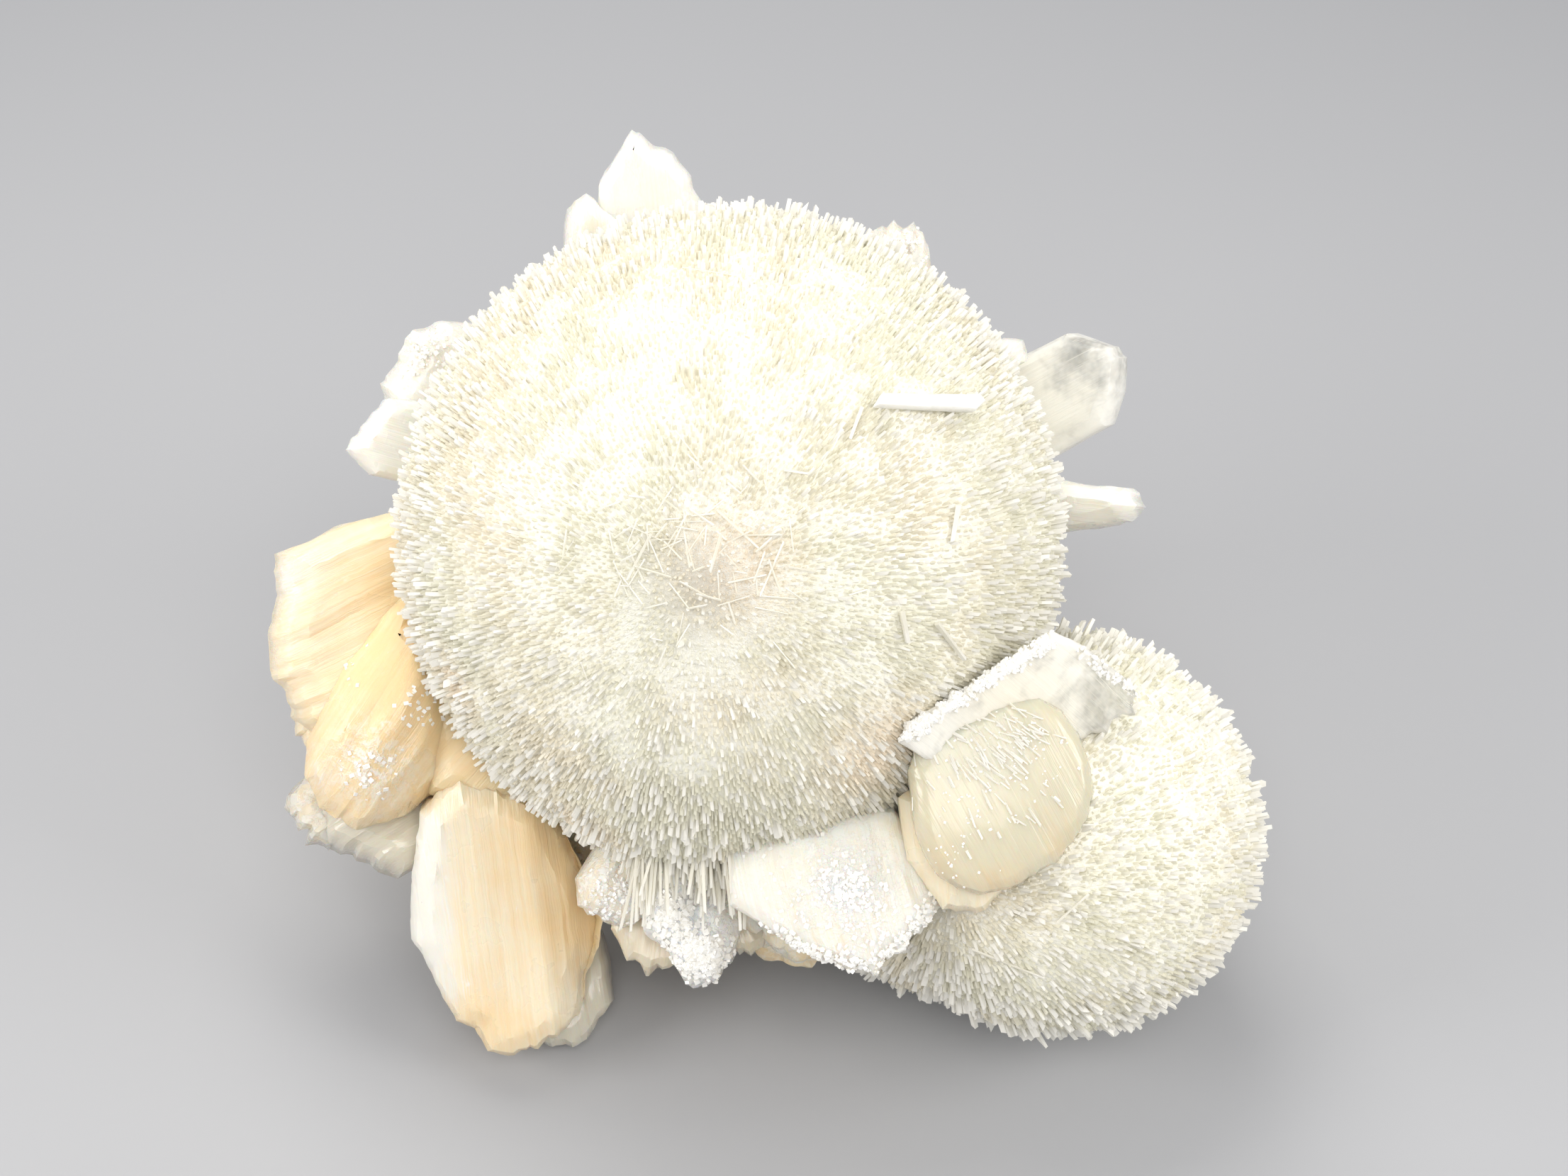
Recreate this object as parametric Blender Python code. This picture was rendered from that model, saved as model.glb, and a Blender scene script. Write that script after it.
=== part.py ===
"""A scolecite specimen: two round sprays of needles on a clump of stilbite crystals.

The clump's broken base is flat and the specimen rests on it. Sizes are in millimetres,
and each mesh is scaled to metres when it is finished. Many places are given as they are
seen from the front, looking down at VIEW_TILT, from the centre of the large spray: how far
across to the right, how far up in the view, and how far back behind that centre.
"""

import math
import random

import bmesh
import bpy
from mathutils import Vector

MM = 0.001

# The large spray: a ball of needles that grew from one point, with a flat back on the clump
MAIN_CENTRE = Vector((0, 0, 45))
MAIN_RADIUS = 35
MAIN_ORIGIN = (-2, -5, 8)
MAIN_BACK = 12
MAIN_LOBES = [((0, 0, 0), MAIN_RADIUS), ((-5, -25, -10), 13)]
MAIN_CELLS = 12
MAIN_SEED = 11

# The small spray beside it: a low wide ball that grew against the large one
SIDE_ORIGIN = (31, -32.5, 7.3)
SIDE_LOBES = [((33.8, -30, 1), 22), ((22.5, -34, 6), 15.2)]
SIDE_CELLS = 8
SIDE_SEED = 12

# Needle tips stand this far above the hollows between them. There are none on the middle of
# the large spray's back, where the small spray lies against the large one, or on a sharp rim.
SPINE_HEIGHT = (3.2, 5.2)
TIP_SCATTER = 0.045
TIP_REACH = (0.97, 1)
BARE_BACK_RADIUS = 27
BARE_BACK_MARGIN = 1
BARE_SIDE_MARGIN = 2.5
RIM_DROP = 0.3

VIEW_TILT = math.radians(42)
RIGHT = Vector((1, 0, 0))
UP = Vector((0, math.sin(VIEW_TILT), math.cos(VIEW_TILT)))
BACK = Vector((0, math.cos(VIEW_TILT), -math.sin(VIEW_TILT)))

# Clear space between the three aggregates, and under the small spray
SOCKET_GAP = 0.6
SPRAY_GAP = 0.6
FLOOR_GAP = 0.3
WALK_STEP = 0.25

# The clump's heart behind the large spray: centre as seen, and half sizes across, up and back
HEART = ((-1, -4, 18), (33, 32, 14))
HEART_ROUGHNESS = 0.08
HEART_SEED = 21

# Lumps of small crystals under the sprays and behind the front crystals: centre as seen, radius
LUMPS = [
    ((-24, -25, 16), 12),
    ((-2, -27, 25), 14),
    ((-5, -35, 6), 8),
    ((7, -35, 0), 9),
]
LUMP_ROUGHNESS = 0.14
LUMP_SEED = 30
LUMP_DETAIL = 2

# Blades that frame the sprays. Each outline is (across, up) as seen; depth is how far back
# its middle lies, and slope how much further back it lies for each step across and up.
CRYSTALS = {
    "top blade": dict(
        outline=[(-13, 6), (-14.7, 37.7), (-12.5, 40.8), (-10.8, 43.1), (-8.6, 41.8), (-6.3, 40.8),
                 (-4.4, 37.6), (-3.3, 33), (0, 6)],
        depth=13, slope=(0, -0.5), thick=4.5, chamfer=1.1),
    "top blade foot": dict(
        outline=[(-19, 12), (-17.8, 33), (-17.4, 34.6), (-15.2, 36.3), (-12, 34), (-9, 12)],
        depth=14, slope=(0.25, -0.5), thick=5, chamfer=1.2),
    "top right blade": dict(
        outline=[(6, 8), (14.2, 32.2), (17.4, 33.2), (19.8, 32.9), (21.2, 31.2), (21.4, 29.1), (17, 8)],
        depth=15, slope=(0, -0.5), thick=5.5, chamfer=1.3),
    "clear blade": dict(
        outline=[(12, 12), (30.5, 19.5), (35.4, 21.8), (39.4, 20), (40.2, 18.8), (40.1, 15.3), (39.2, 11.9),
                 (33.5, 8.8), (12, 0)],
        depth=10.5, slope=(-0.6, -0.15), thick=5.5, chamfer=1.3),
    "right prism": dict(
        outline=[(14, 8), (34.6, 6.6), (40.9, 5.6), (42.1, 3.5), (40.8, 2.1), (36.1, 1), (14, -2)],
        depth=9, slope=(-0.62, 0), thick=6, chamfer=1.5),
    "left shoulder": dict(
        outline=[(-34, 6), (-36.6, 16.1), (-33.5, 21.5), (-30.3, 23.3), (-25.2, 23.2), (-14, 12), (-16, 3)],
        depth=13, slope=(0.5, -0.25), thick=7, chamfer=1.8),
    "left wing": dict(
        outline=[(-39.7, 9.4), (-36.2, 14.5), (-20, 14), (-18, 2), (-33, 6), (-37.5, 7)],
        depth=9, slope=(0.55, 0), thick=4.5, chamfer=1.1),
    "broad sheaf": dict(
        outline=[(-18, 2), (-35.5, 3), (-40, 1.8), (-43.3, -0.2), (-46.1, -1.4), (-45.8, -5.7), (-46.5, -9),
                 (-46.3, -14), (-43, -20), (-34, -24), (-18, -16)],
        depth=5.5, slope=(0.45, 0.05), thick=9, chamfer=1.8),
    "round sheaf": dict(
        outline=[(-33.5, -5.5), (-37, -8), (-40.5, -13), (-43.3, -19), (-43.4, -24.5), (-41.5, -27.5),
                 (-38, -29.4), (-33, -28.5), (-28, -24), (-27, -18), (-29.5, -11)],
        depth=-1.5, slope=(0.15, 0.1), thick=8, chamfer=3),
    "grey crystals": dict(
        outline=[(-45.9, -26.3), (-44.6, -29.5), (-39.6, -31.7), (-33.9, -34.5), (-24, -30), (-24, -18),
                 (-39, -20)],
        depth=6, slope=(0.4, 0.1), thick=8, chamfer=1.5),
    "front leg": dict(
        outline=[(-27.7, -24), (-31.6, -27.8), (-32.8, -36), (-33, -41.5), (-30.4, -46.5), (-28.3, -49.8),
                 (-24.6, -53.6), (-20.7, -53.2), (-15.9, -49.8), (-15.2, -45.4), (-13.4, -39.7), (-15, -34),
                 (-18.5, -27)],
        depth=1.5, slope=(0.1, -0.12), thick=8, chamfer=2.2),
    "leg foot": dict(
        outline=[(-24, -36), (-22, -50), (-20, -53), (-15.8, -53), (-12.8, -49), (-13.2, -45), (-16, -34)],
        depth=8.5, slope=(0, 0.1), thick=8, chamfer=1.6),
    "frosted tips": dict(
        outline=[(-15, -33), (-15.2, -36.8), (-10.3, -41.4), (-7.9, -43.5), (-2.8, -44.7), (0.8, -41.8),
                 (4.5, -39.8), (5, -33), (-6, -30)],
        depth=-4, slope=(0, 0.25), thick=6, chamfer=1.5),
    "sugared fan": dict(
        outline=[(-0.5, -30), (0.2, -35.9), (4.2, -38.2), (8.6, -40.6), (12.5, -42), (15, -41.2), (18.8, -37.5),
                 (20.3, -35.6), (19.4, -29.8), (16, -26.5), (8, -26)],
        depth=-15, slope=(-0.12, 0.1), thick=4.5, chamfer=1.3),
    "fan stem": dict(
        outline=[(2, -28), (3, -37), (9, -39), (15, -38.5), (18, -33), (16, -27)],
        depth=-7.5, slope=(0, 0.3), thick=12, chamfer=2),
    "round plate": dict(
        outline=[(17.1, -22.1), (19.4, -18.3), (24.1, -15.9), (29.5, -15.2), (33.2, -18.6), (34.8, -24.3),
                 (32.8, -29), (28.7, -32.4), (24.1, -33.9), (20, -32), (18, -28)],
        depth=-20.8, slope=(0.12, 0.05), thick=3.6, chamfer=1.2),
    "plate seat": dict(
        outline=[(15.5, -26), (20, -22), (25, -23), (29, -28), (27, -34), (21, -36), (16, -33)],
        depth=-17.6, slope=(0.05, 0.05), thick=6, chamfer=1.5),
    "sugared edge": dict(
        outline=[(16.5, -19.6), (17, -17.9), (23, -14), (30.8, -9.2), (35.9, -12.3), (39.2, -15), (38.8, -17.3),
                 (35.9, -18.8), (30, -22), (22, -23)],
        depth=-20.5, slope=(0.42, 0.35), thick=2.6, chamfer=0.8),
}

# Blades on the hidden back of the clump. They grow from one root, and their tips reach
# a rounded form whose centre and half sizes are given as seen. A blade is widest at its
# shoulder, which is given as a share of its length, and its point leans to one side.
BACK_BLADES = 30
BACK_BLADE_ROOT = (-1, -5, 16)
BACK_FORM = ((-1, -4, 20), (37, 36, 27))
BACK_BLADE_REACH = (0.88, 1.04)
BACK_BLADE_WIDTH = (12, 20)
BACK_BLADE_THICKNESS = (4, 7)
BACK_BLADE_SHOULDER = (0.78, 0.88)
BACK_BLADE_LEAN = 0.18
BACK_BLADE_CHAMFER = 0.22
BACK_BLADE_SPREAD = 1.1
BACK_BLADE_SEED = 5
GOLDEN_ANGLE = math.radians(137.5)

# A face counts as a plate's flat side when it turns less than this from the plate's own way
FLAT_SIDE = math.radians(25)

BLOCK = 200
FINISHES = {
    "scolecite": dict(colour=(0.93, 0.91, 0.86), roughness=0.42),
    "stilbite": dict(colour=(0.93, 0.78, 0.6), roughness=0.3),
}


def clear_scene():
    for item in list(bpy.data.objects):
        bpy.data.objects.remove(item, do_unlink=True)


def seen(across, up, back):
    """The point in space for a place given as it is seen from the front."""
    return MAIN_CENTRE + RIGHT * across + UP * up + BACK * back


def depth_of(point):
    """How far back a point lies behind the large spray's centre."""
    return (point - MAIN_CENTRE).dot(BACK)


def in_lobes(point, lobes, grow):
    return any((point - seen(*centre)).length < radius + grow for centre, radius in lobes)


def in_main_spray(point, grow=0):
    return in_lobes(point, MAIN_LOBES, grow) and depth_of(point) < MAIN_BACK + grow


def in_side_spray(point, grow=0):
    if in_main_spray(point, SPRAY_GAP - grow) or point.z < FLOOR_GAP - grow:
        return False
    return in_lobes(point, SIDE_LOBES, grow)


def walk(origin, direction, inside, grow):
    """How far a needle may grow from the origin before it leaves the spray's form."""
    reach = WALK_STEP
    while inside(origin + direction * (reach + WALK_STEP), grow):
        reach += WALK_STEP
    return reach


def even_ball(cells):
    """A unit ball of four-sided cells of nearly equal size, made from a cube."""
    ball = bmesh.new()
    bmesh.ops.create_cube(ball, size=2)
    bmesh.ops.subdivide_edges(ball, edges=ball.edges, cuts=cells - 1, use_grid_fill=True)
    for vertex in ball.verts:
        vertex.co = Vector([math.tan(value * math.pi / 4) for value in vertex.co]).normalized()
    return ball


def smooth_spray(origin, inside, cells, grow):
    """The closed form that the needle tips reach, made a little larger all round by grow."""
    spray = even_ball(cells)
    for vertex in spray.verts:
        vertex.co = origin + vertex.co * walk(origin, vertex.co, inside, grow)
    return spray


def split_cells(spray):
    """Cut each four-sided cell along the same diagonal in every copy of a form."""
    cells = [face for face in spray.faces if len(face.verts) == 4]
    bmesh.ops.triangulate(spray, faces=cells, quad_method="FIXED")


def spiny_spray(origin, inside, cells, bare, seed):
    """The spray with a spine on every cell, except where it is bare."""
    draw = random.Random(seed)
    spray = smooth_spray(origin, inside, cells, 0)

    def on_rim(face):
        ray = face.calc_center_median() - origin
        return walk(origin, ray.normalized(), inside, 0) > ray.length + RIM_DROP

    spiny = [face for face in spray.faces if not bare(face.calc_center_median()) and not on_rim(face)]
    corners = {vertex for face in spiny for vertex in face.verts}
    hollows = {vertex for vertex in corners if all(near in spiny for near in vertex.link_faces)}
    centres = [face.calc_center_median() - origin for face in spiny]
    for vertex in sorted(hollows, key=lambda item: item.index):
        ray = vertex.co - origin
        vertex.co = origin + ray * (1 - draw.uniform(*SPINE_HEIGHT) / ray.length)
    tips = bmesh.ops.poke(spray, faces=spiny)["verts"]
    for tip, centre in zip(tips, centres):
        direction = centre.normalized() + Vector([draw.uniform(-1, 1) for _ in range(3)]) * TIP_SCATTER
        direction.normalize()
        tip.co = origin + direction * walk(origin, direction, inside, 0) * draw.uniform(*TIP_REACH)
    split_cells(spray)
    return spray


def plate(points, normal, thick, chamfer):
    """A flat crystal with chamfered edges: its front outline, the way it faces, and its thickness."""
    crystal = bmesh.new()
    front = crystal.faces.new([crystal.verts.new(point) for point in points])
    rim = thick - 2 * chamfer
    grown = bmesh.ops.extrude_face_region(crystal, geom=[front])["geom"]
    ends = [item for item in grown if isinstance(item, bmesh.types.BMVert)]
    bmesh.ops.translate(crystal, verts=ends, vec=-normal * rim)
    bmesh.ops.recalc_face_normals(crystal, faces=crystal.faces)
    for face in [face for face in crystal.faces if abs(face.normal.dot(normal)) > math.cos(FLAT_SIDE)]:
        bmesh.ops.inset_region(crystal, faces=[face], thickness=chamfer, depth=chamfer, use_even_offset=True)
    return crystal


def seen_crystal(outline, depth, slope, thick, chamfer):
    """A crystal whose outline is given as it is seen from the front."""
    middle = Vector(outline[0])
    for corner in outline[1:]:
        middle += Vector(corner)
    middle /= len(outline)
    normal = (RIGHT * slope[0] + UP * slope[1] - BACK).normalized()
    front = depth - (thick / 2 - chamfer)
    points = []
    for across, up in outline:
        back = front + slope[0] * (across - middle.x) + slope[1] * (up - middle.y)
        points.append(seen(across, up, back))
    return plate(points, normal, thick, chamfer)


def grown_crystal(root, along, facing, length, width, thick, draw):
    """A blade with a waist, shoulders and a blunt point, from its root out along its length.

    Its outline is in shares of its width and length.
    """
    side = along.cross(facing).normalized()
    normal = side.cross(along).normalized()
    shoulder = draw.uniform(*BACK_BLADE_SHOULDER)
    lean = draw.uniform(-BACK_BLADE_LEAN, BACK_BLADE_LEAN)
    form = [(-0.32, 0), (-0.5, 0.6), (-0.48, shoulder), (lean - 0.2, 0.97), (lean + 0.15, 1),
            (0.5, shoulder - 0.06), (0.47, 0.55), (0.32, 0)]
    points = [root + side * across * width + along * out * length + normal * thick / 2 for across, out in form]
    return plate(points, normal, thick, thick * BACK_BLADE_CHAMFER)


def lump(centre, half_sizes, roughness, seed):
    """A faceted lump: a ball drawn out along the view's three directions and roughened."""
    draw = random.Random(seed)
    body = bmesh.new()
    bmesh.ops.create_icosphere(body, subdivisions=LUMP_DETAIL, radius=1)
    across, up, back = half_sizes
    for vertex in body.verts:
        swell = 1 + draw.uniform(-roughness, roughness)
        spot = vertex.co * swell
        vertex.co = centre + RIGHT * spot.x * across + UP * spot.y * up + BACK * spot.z * back
    return body


def back_blades():
    """Blades that fan out over the back of the clump on a golden-angle spiral."""
    draw = random.Random(BACK_BLADE_SEED)
    root = seen(*BACK_BLADE_ROOT)
    form_centre, form_size = BACK_FORM

    def in_form(point, grow):
        offset = point - seen(*form_centre)
        parts = (offset.dot(RIGHT), offset.dot(UP), offset.dot(BACK))
        return sum((part / size) ** 2 for part, size in zip(parts, form_size)) < 1

    blades = []
    for number in range(BACK_BLADES):
        opening = BACK_BLADE_SPREAD * math.sqrt((number + 0.5) / BACK_BLADES) * math.pi / 2
        turn = number * GOLDEN_ANGLE
        outward = RIGHT * math.cos(turn) + UP * math.sin(turn)
        along = outward * math.sin(opening) + BACK * math.cos(opening)
        facing = along.cross(RIGHT * math.cos(number) + UP * math.sin(number))
        length = walk(root, along, in_form, 0) * draw.uniform(*BACK_BLADE_REACH)
        width = draw.uniform(*BACK_BLADE_WIDTH)
        thick = draw.uniform(*BACK_BLADE_THICKNESS)
        blades.append(grown_crystal(root, along, facing, length, width, thick, draw))
    return blades


def join(bodies):
    """One mesh from several, each still a body of its own."""
    whole = bmesh.new()
    for body in bodies:
        mesh = bpy.data.meshes.new("body")
        bmesh.ops.recalc_face_normals(body, faces=body.faces)
        body.to_mesh(mesh)
        body.free()
        whole.from_mesh(mesh)
        bpy.data.meshes.remove(mesh)
    return whole


def finish(name, body, parent, finish_name=None):
    """Turn a bmesh into a named object in metres. One without a finish is a hidden tool."""
    bmesh.ops.recalc_face_normals(body, faces=body.faces)
    bmesh.ops.scale(body, vec=(MM, MM, MM), verts=body.verts)
    mesh = bpy.data.meshes.new(name)
    body.to_mesh(mesh)
    body.free()
    item = bpy.data.objects.new(name, mesh)
    bpy.context.scene.collection.objects.link(item)
    item.parent = parent
    if finish_name:
        mesh.materials.append(material(finish_name))
    else:
        item.hide_render = True
        item.display_type = "WIRE"
    return item


def material(name):
    """The plain finish of one mineral."""
    found = bpy.data.materials.get(name)
    if found:
        return found
    found = bpy.data.materials.new(name)
    found.use_nodes = True
    shader = found.node_tree.nodes["Principled BSDF"]
    shader.inputs["Base Color"].default_value = (*FINISHES[name]["colour"], 1)
    shader.inputs["Roughness"].default_value = FINISHES[name]["roughness"]
    shader.inputs["Metallic"].default_value = 0
    return found


def combine(item, tool, operation, use_self=False):
    change = item.modifiers.new(f"{operation.lower()} {tool.name}", "BOOLEAN")
    change.operation = operation
    change.solver = "EXACT"
    change.use_self = use_self
    change.object = tool


def make_sprays(parent):
    main_origin = seen(*MAIN_ORIGIN)
    side_origin = seen(*SIDE_ORIGIN)

    def main_bare(point):
        offset = point - MAIN_CENTRE
        on_back = depth_of(point) > MAIN_BACK - BARE_BACK_MARGIN
        return on_back and math.hypot(offset.dot(RIGHT), offset.dot(UP)) < BARE_BACK_RADIUS

    def side_bare(point):
        return in_main_spray(point, BARE_SIDE_MARGIN)

    main = spiny_spray(main_origin, in_main_spray, MAIN_CELLS, main_bare, MAIN_SEED)
    side = spiny_spray(side_origin, in_side_spray, SIDE_CELLS, side_bare, SIDE_SEED)
    finish("scolecite_main_spray", main, parent, "scolecite")
    finish("scolecite_side_spray", side, parent, "scolecite")


def make_clump(parent):
    heart_centre, heart_size = HEART
    heart = lump(seen(*heart_centre), heart_size, HEART_ROUGHNESS, HEART_SEED)
    growths = [seen_crystal(**form) for form in CRYSTALS.values()]
    growths += back_blades()
    for number, (centre, radius) in enumerate(LUMPS):
        growths.append(lump(seen(*centre), (radius, radius, radius), LUMP_ROUGHNESS, LUMP_SEED + number))
    clump = finish("stilbite_clump", join(growths), parent, "stilbite")

    # Each spray sits in a socket of its own form, a little larger than the spray
    main_socket = smooth_spray(seen(*MAIN_ORIGIN), in_main_spray, MAIN_CELLS, SOCKET_GAP)
    side_socket = smooth_spray(seen(*SIDE_ORIGIN), in_side_spray, SIDE_CELLS, SOCKET_GAP)
    split_cells(main_socket)
    split_cells(side_socket)
    ground = bmesh.new()
    bmesh.ops.create_cube(ground, size=BLOCK)
    bmesh.ops.translate(ground, verts=ground.verts, vec=(0, 0, -BLOCK / 2))

    combine(clump, finish("heart", heart, parent), "UNION", use_self=True)
    combine(clump, finish("main socket", main_socket, parent), "DIFFERENCE")
    combine(clump, finish("side socket", side_socket, parent), "DIFFERENCE")
    combine(clump, finish("ground", ground, parent), "DIFFERENCE")


def centre_on_base(specimen):
    """Move everything so that the middle of the specimen's base is the origin."""
    bpy.context.view_layer.update()
    graph = bpy.context.evaluated_depsgraph_get()
    corners = []
    for item in bpy.context.scene.objects:
        if item.type == "MESH" and not item.hide_render:
            shape = item.evaluated_get(graph)
            corners += [shape.matrix_world @ vertex.co for vertex in shape.data.vertices]
    low = Vector([min(corner[axis] for corner in corners) for axis in range(3)])
    high = Vector([max(corner[axis] for corner in corners) for axis in range(3)])
    middle = (low + high) / 2
    specimen.location = (-middle.x, -middle.y, -low.z)
    print("moved by", [round(value / MM, 3) for value in specimen.location])
    print("size", [round(value / MM, 2) for value in high - low])


def main():
    clear_scene()
    specimen = bpy.data.objects.new("specimen", None)
    bpy.context.scene.collection.objects.link(specimen)
    make_sprays(specimen)
    make_clump(specimen)
    centre_on_base(specimen)


main()
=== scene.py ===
# A scolecite specimen: two round sprays of white needles on a clump of peach stilbite crystals.
# Shapes are worked out in millimetres and turned into metres when a piece is finished.
import math
import random

import bmesh
import bpy
import numpy as np
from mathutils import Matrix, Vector, noise
from mathutils.bvhtree import BVHTree


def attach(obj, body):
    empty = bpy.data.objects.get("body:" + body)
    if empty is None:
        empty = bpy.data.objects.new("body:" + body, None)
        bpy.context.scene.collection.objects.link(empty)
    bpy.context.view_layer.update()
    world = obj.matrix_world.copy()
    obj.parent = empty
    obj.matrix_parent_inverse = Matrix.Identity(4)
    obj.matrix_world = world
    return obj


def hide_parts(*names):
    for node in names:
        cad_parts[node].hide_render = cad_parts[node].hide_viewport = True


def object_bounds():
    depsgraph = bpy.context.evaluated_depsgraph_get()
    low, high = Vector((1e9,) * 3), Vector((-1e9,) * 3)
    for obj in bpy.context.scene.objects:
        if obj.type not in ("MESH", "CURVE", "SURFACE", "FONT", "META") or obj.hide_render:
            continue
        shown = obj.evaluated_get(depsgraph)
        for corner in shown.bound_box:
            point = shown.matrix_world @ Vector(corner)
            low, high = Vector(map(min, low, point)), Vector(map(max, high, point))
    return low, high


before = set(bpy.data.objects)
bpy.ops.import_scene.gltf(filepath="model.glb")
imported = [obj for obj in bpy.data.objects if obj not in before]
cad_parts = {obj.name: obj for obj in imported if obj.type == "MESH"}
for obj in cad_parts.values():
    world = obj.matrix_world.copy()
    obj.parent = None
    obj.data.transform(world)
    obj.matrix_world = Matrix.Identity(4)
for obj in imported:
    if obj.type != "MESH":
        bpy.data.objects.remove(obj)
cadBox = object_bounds()
mm = 0.001
noise.seed_set(1)  # without it the vector noise would differ from run to run

# The front view looks down at this angle. Places are given as seen from there, in mm from the middle
# of the large spray: how far across to the right, how far up, and how far back.
viewTilt = math.radians(42)
rightWay = Vector((1, 0, 0))
upWay = Vector((0, math.sin(viewTilt), math.cos(viewTilt)))
backWay = Vector((0, math.cos(viewTilt), -math.sin(viewTilt)))
ballCentre = Vector((-3.417, -1.235, 45))


def seen(across, up, back=0):
    return ballCentre + rightWay * across + upWay * up + backWay * back


# One wire between shader nodes. Sums and products of wires add Math nodes.
class Wire:
    def __init__(self, look, socket):
        self.look = look
        self.socket = socket

    def maths(self, operation, first, second):
        return self.look.node("ShaderNodeMath", {"operation": operation}, {0: first, 1: second})

    def __add__(self, other):
        return self.maths("ADD", self, other)

    __radd__ = __add__

    def __sub__(self, other):
        return self.maths("SUBTRACT", self, other)

    def __rsub__(self, other):
        return self.maths("SUBTRACT", other, self)

    def __mul__(self, other):
        return self.maths("MULTIPLY", self, other)

    __rmul__ = __mul__

    def ramp(self, low, high, start=0.0, end=1.0):  # a smooth climb from start to end between low and high
        values = {"Value": self, "From Min": low, "From Max": high, "To Min": start, "To Max": end}
        return self.look.node("ShaderNodeMapRange", {"interpolation_type": "SMOOTHSTEP"}, values)

    def most(self, other):
        return self.maths("MAXIMUM", self, other)


# A material under construction: every node is made by one method
class Look:
    def __init__(self, name):
        self.material = bpy.data.materials.new(name)
        self.material.use_nodes = True
        self.tree = self.material.node_tree
        self.tree.nodes.clear()

    def node(self, kind, settings=None, inputs=None, output=0):
        made = self.tree.nodes.new(kind)
        for name, value in (settings or {}).items():
            setattr(made, name, value)
        for name, value in (inputs or {}).items():
            if isinstance(value, Wire):
                self.tree.links.new(value.socket, made.inputs[name])
            else:
                made.inputs[name].default_value = value
        return Wire(self, made.outputs[output])

    def place(self):  # the point on the piece, in mm
        spot = self.node("ShaderNodeTexCoord", output=3)
        return self.stretch(spot, (1 / mm, 1 / mm, 1 / mm))

    def stretch(self, vector, sizes):
        return self.node("ShaderNodeVectorMath", {"operation": "MULTIPLY"}, {0: vector, 1: sizes})

    def painted(self, name):  # a number painted on the piece's vertices
        return self.node("ShaderNodeAttribute", {"attribute_name": name}, output=2)

    def grain(self):  # mm across the growth, along it, and through the crystal
        return self.node("ShaderNodeAttribute", {"attribute_name": "grain"}, output=1)

    def mottle(self, vector, scale, detail, roughness=0.55):
        values = {"Vector": vector, "Scale": scale, "Detail": detail, "Roughness": roughness}
        return self.node("ShaderNodeTexNoise", None, values)

    def blend(self, factor, first, second):
        first = first if isinstance(first, Wire) else (*first, 1)
        second = second if isinstance(second, Wire) else (*second, 1)
        return self.node("ShaderNodeMix", {"data_type": "RGBA"}, {0: factor, 6: first, 7: second}, 2)

    def bump(self, height, strength, depth):
        values = {"Height": height, "Strength": strength, "Distance": depth * mm}
        return self.node("ShaderNodeBump", None, values)

    def shader(self, values):
        return self.node("ShaderNodeBsdfPrincipled", None, values)

    def finish(self, surface, volume=None):
        ends = {"Surface": surface}
        if volume:
            ends["Volume"] = volume
        out = self.tree.nodes.new("ShaderNodeOutputMaterial")
        for name, wire in ends.items():
            self.tree.links.new(wire.socket, out.inputs[name])
        return self.material


# the lens angle in degrees, then the sensor, the camera's place and its nearest sight, in mm
view = {"angle": 38, "sensor": 36, "place": (2.083, -179.285, 198.456), "near": 10}


def makeCamera():
    lens = bpy.data.cameras.new("camera")
    lens.sensor_width = view["sensor"]
    lens.lens = view["sensor"] / (2 * math.tan(math.radians(view["angle"]) / 2))
    lens.clip_start = view["near"] * mm
    camera = bpy.data.objects.new("camera", lens)
    camera.location = Vector(view["place"]) * mm
    camera.rotation_euler = (math.pi / 2 - viewTilt, 0, 0)
    bpy.context.scene.collection.objects.link(camera)
    bpy.context.scene.camera = camera


warmLight = (1, 0.975, 0.94)
studio = {
    "floor": (0.4, 0.405, 0.42),
    "floorRough": 0.75,
    "floorReach": 3,  # in metres
    "sky": (0.93, 0.95, 1.0),
    "skyStrength": 0.42,
    # where each light stands and what it lights, in mm, then its size in mm, its power and its colour
    "lights": [
        ("key", (-60, 170, 420), (0, 0, 50), 260, 1.1, (1, 0.975, 0.93)),
        ("front", (40, -330, 400), (0, 0, 30), 300, 1.05, warmLight),
        ("left", (-360, -130, 230), (-20, -10, 30), 220, 0.9, warmLight),
        ("right", (370, -120, 250), (30, -25, 25), 220, 0.85, warmLight),
    ],
}


def makeStudio():
    scene = bpy.context.scene
    world = bpy.data.worlds.new("studio")
    world.use_nodes = True
    sky = world.node_tree.nodes["Background"]
    sky.inputs["Color"].default_value = (*studio["sky"], 1)
    sky.inputs["Strength"].default_value = studio["skyStrength"]
    scene.world = world
    scene.view_settings.view_transform = "Standard"
    for name, spot, target, size, power, colour in studio["lights"]:
        lamp = bpy.data.lights.new(name, "AREA")
        lamp.size = size * mm
        lamp.energy = power
        lamp.color = colour
        light = bpy.data.objects.new(name, lamp)
        light.location = Vector(spot) * mm
        light.rotation_euler = (Vector(spot) - Vector(target)).to_track_quat("Z", "Y").to_euler()
        scene.collection.objects.link(light)

    form = bmesh.new()
    bmesh.ops.create_grid(form, x_segments=1, y_segments=1, size=studio["floorReach"])
    mesh = bpy.data.meshes.new("floor")
    form.to_mesh(mesh)
    form.free()
    floor = bpy.data.objects.new("floor", mesh)
    scene.collection.objects.link(floor)
    look = Look("pale floor")
    shader = look.shader({"Base Color": (*studio["floor"], 1), "Roughness": studio["floorRough"]})
    mesh.materials.append(look.finish(shader))


def link(name, mesh, look, slot, *nodes):
    piece = bpy.data.objects.new(name, mesh)
    bpy.context.scene.collection.objects.link(piece)
    mesh.materials.append(look)
    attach(piece, "root")
    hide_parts(*nodes)
    return piece


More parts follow.
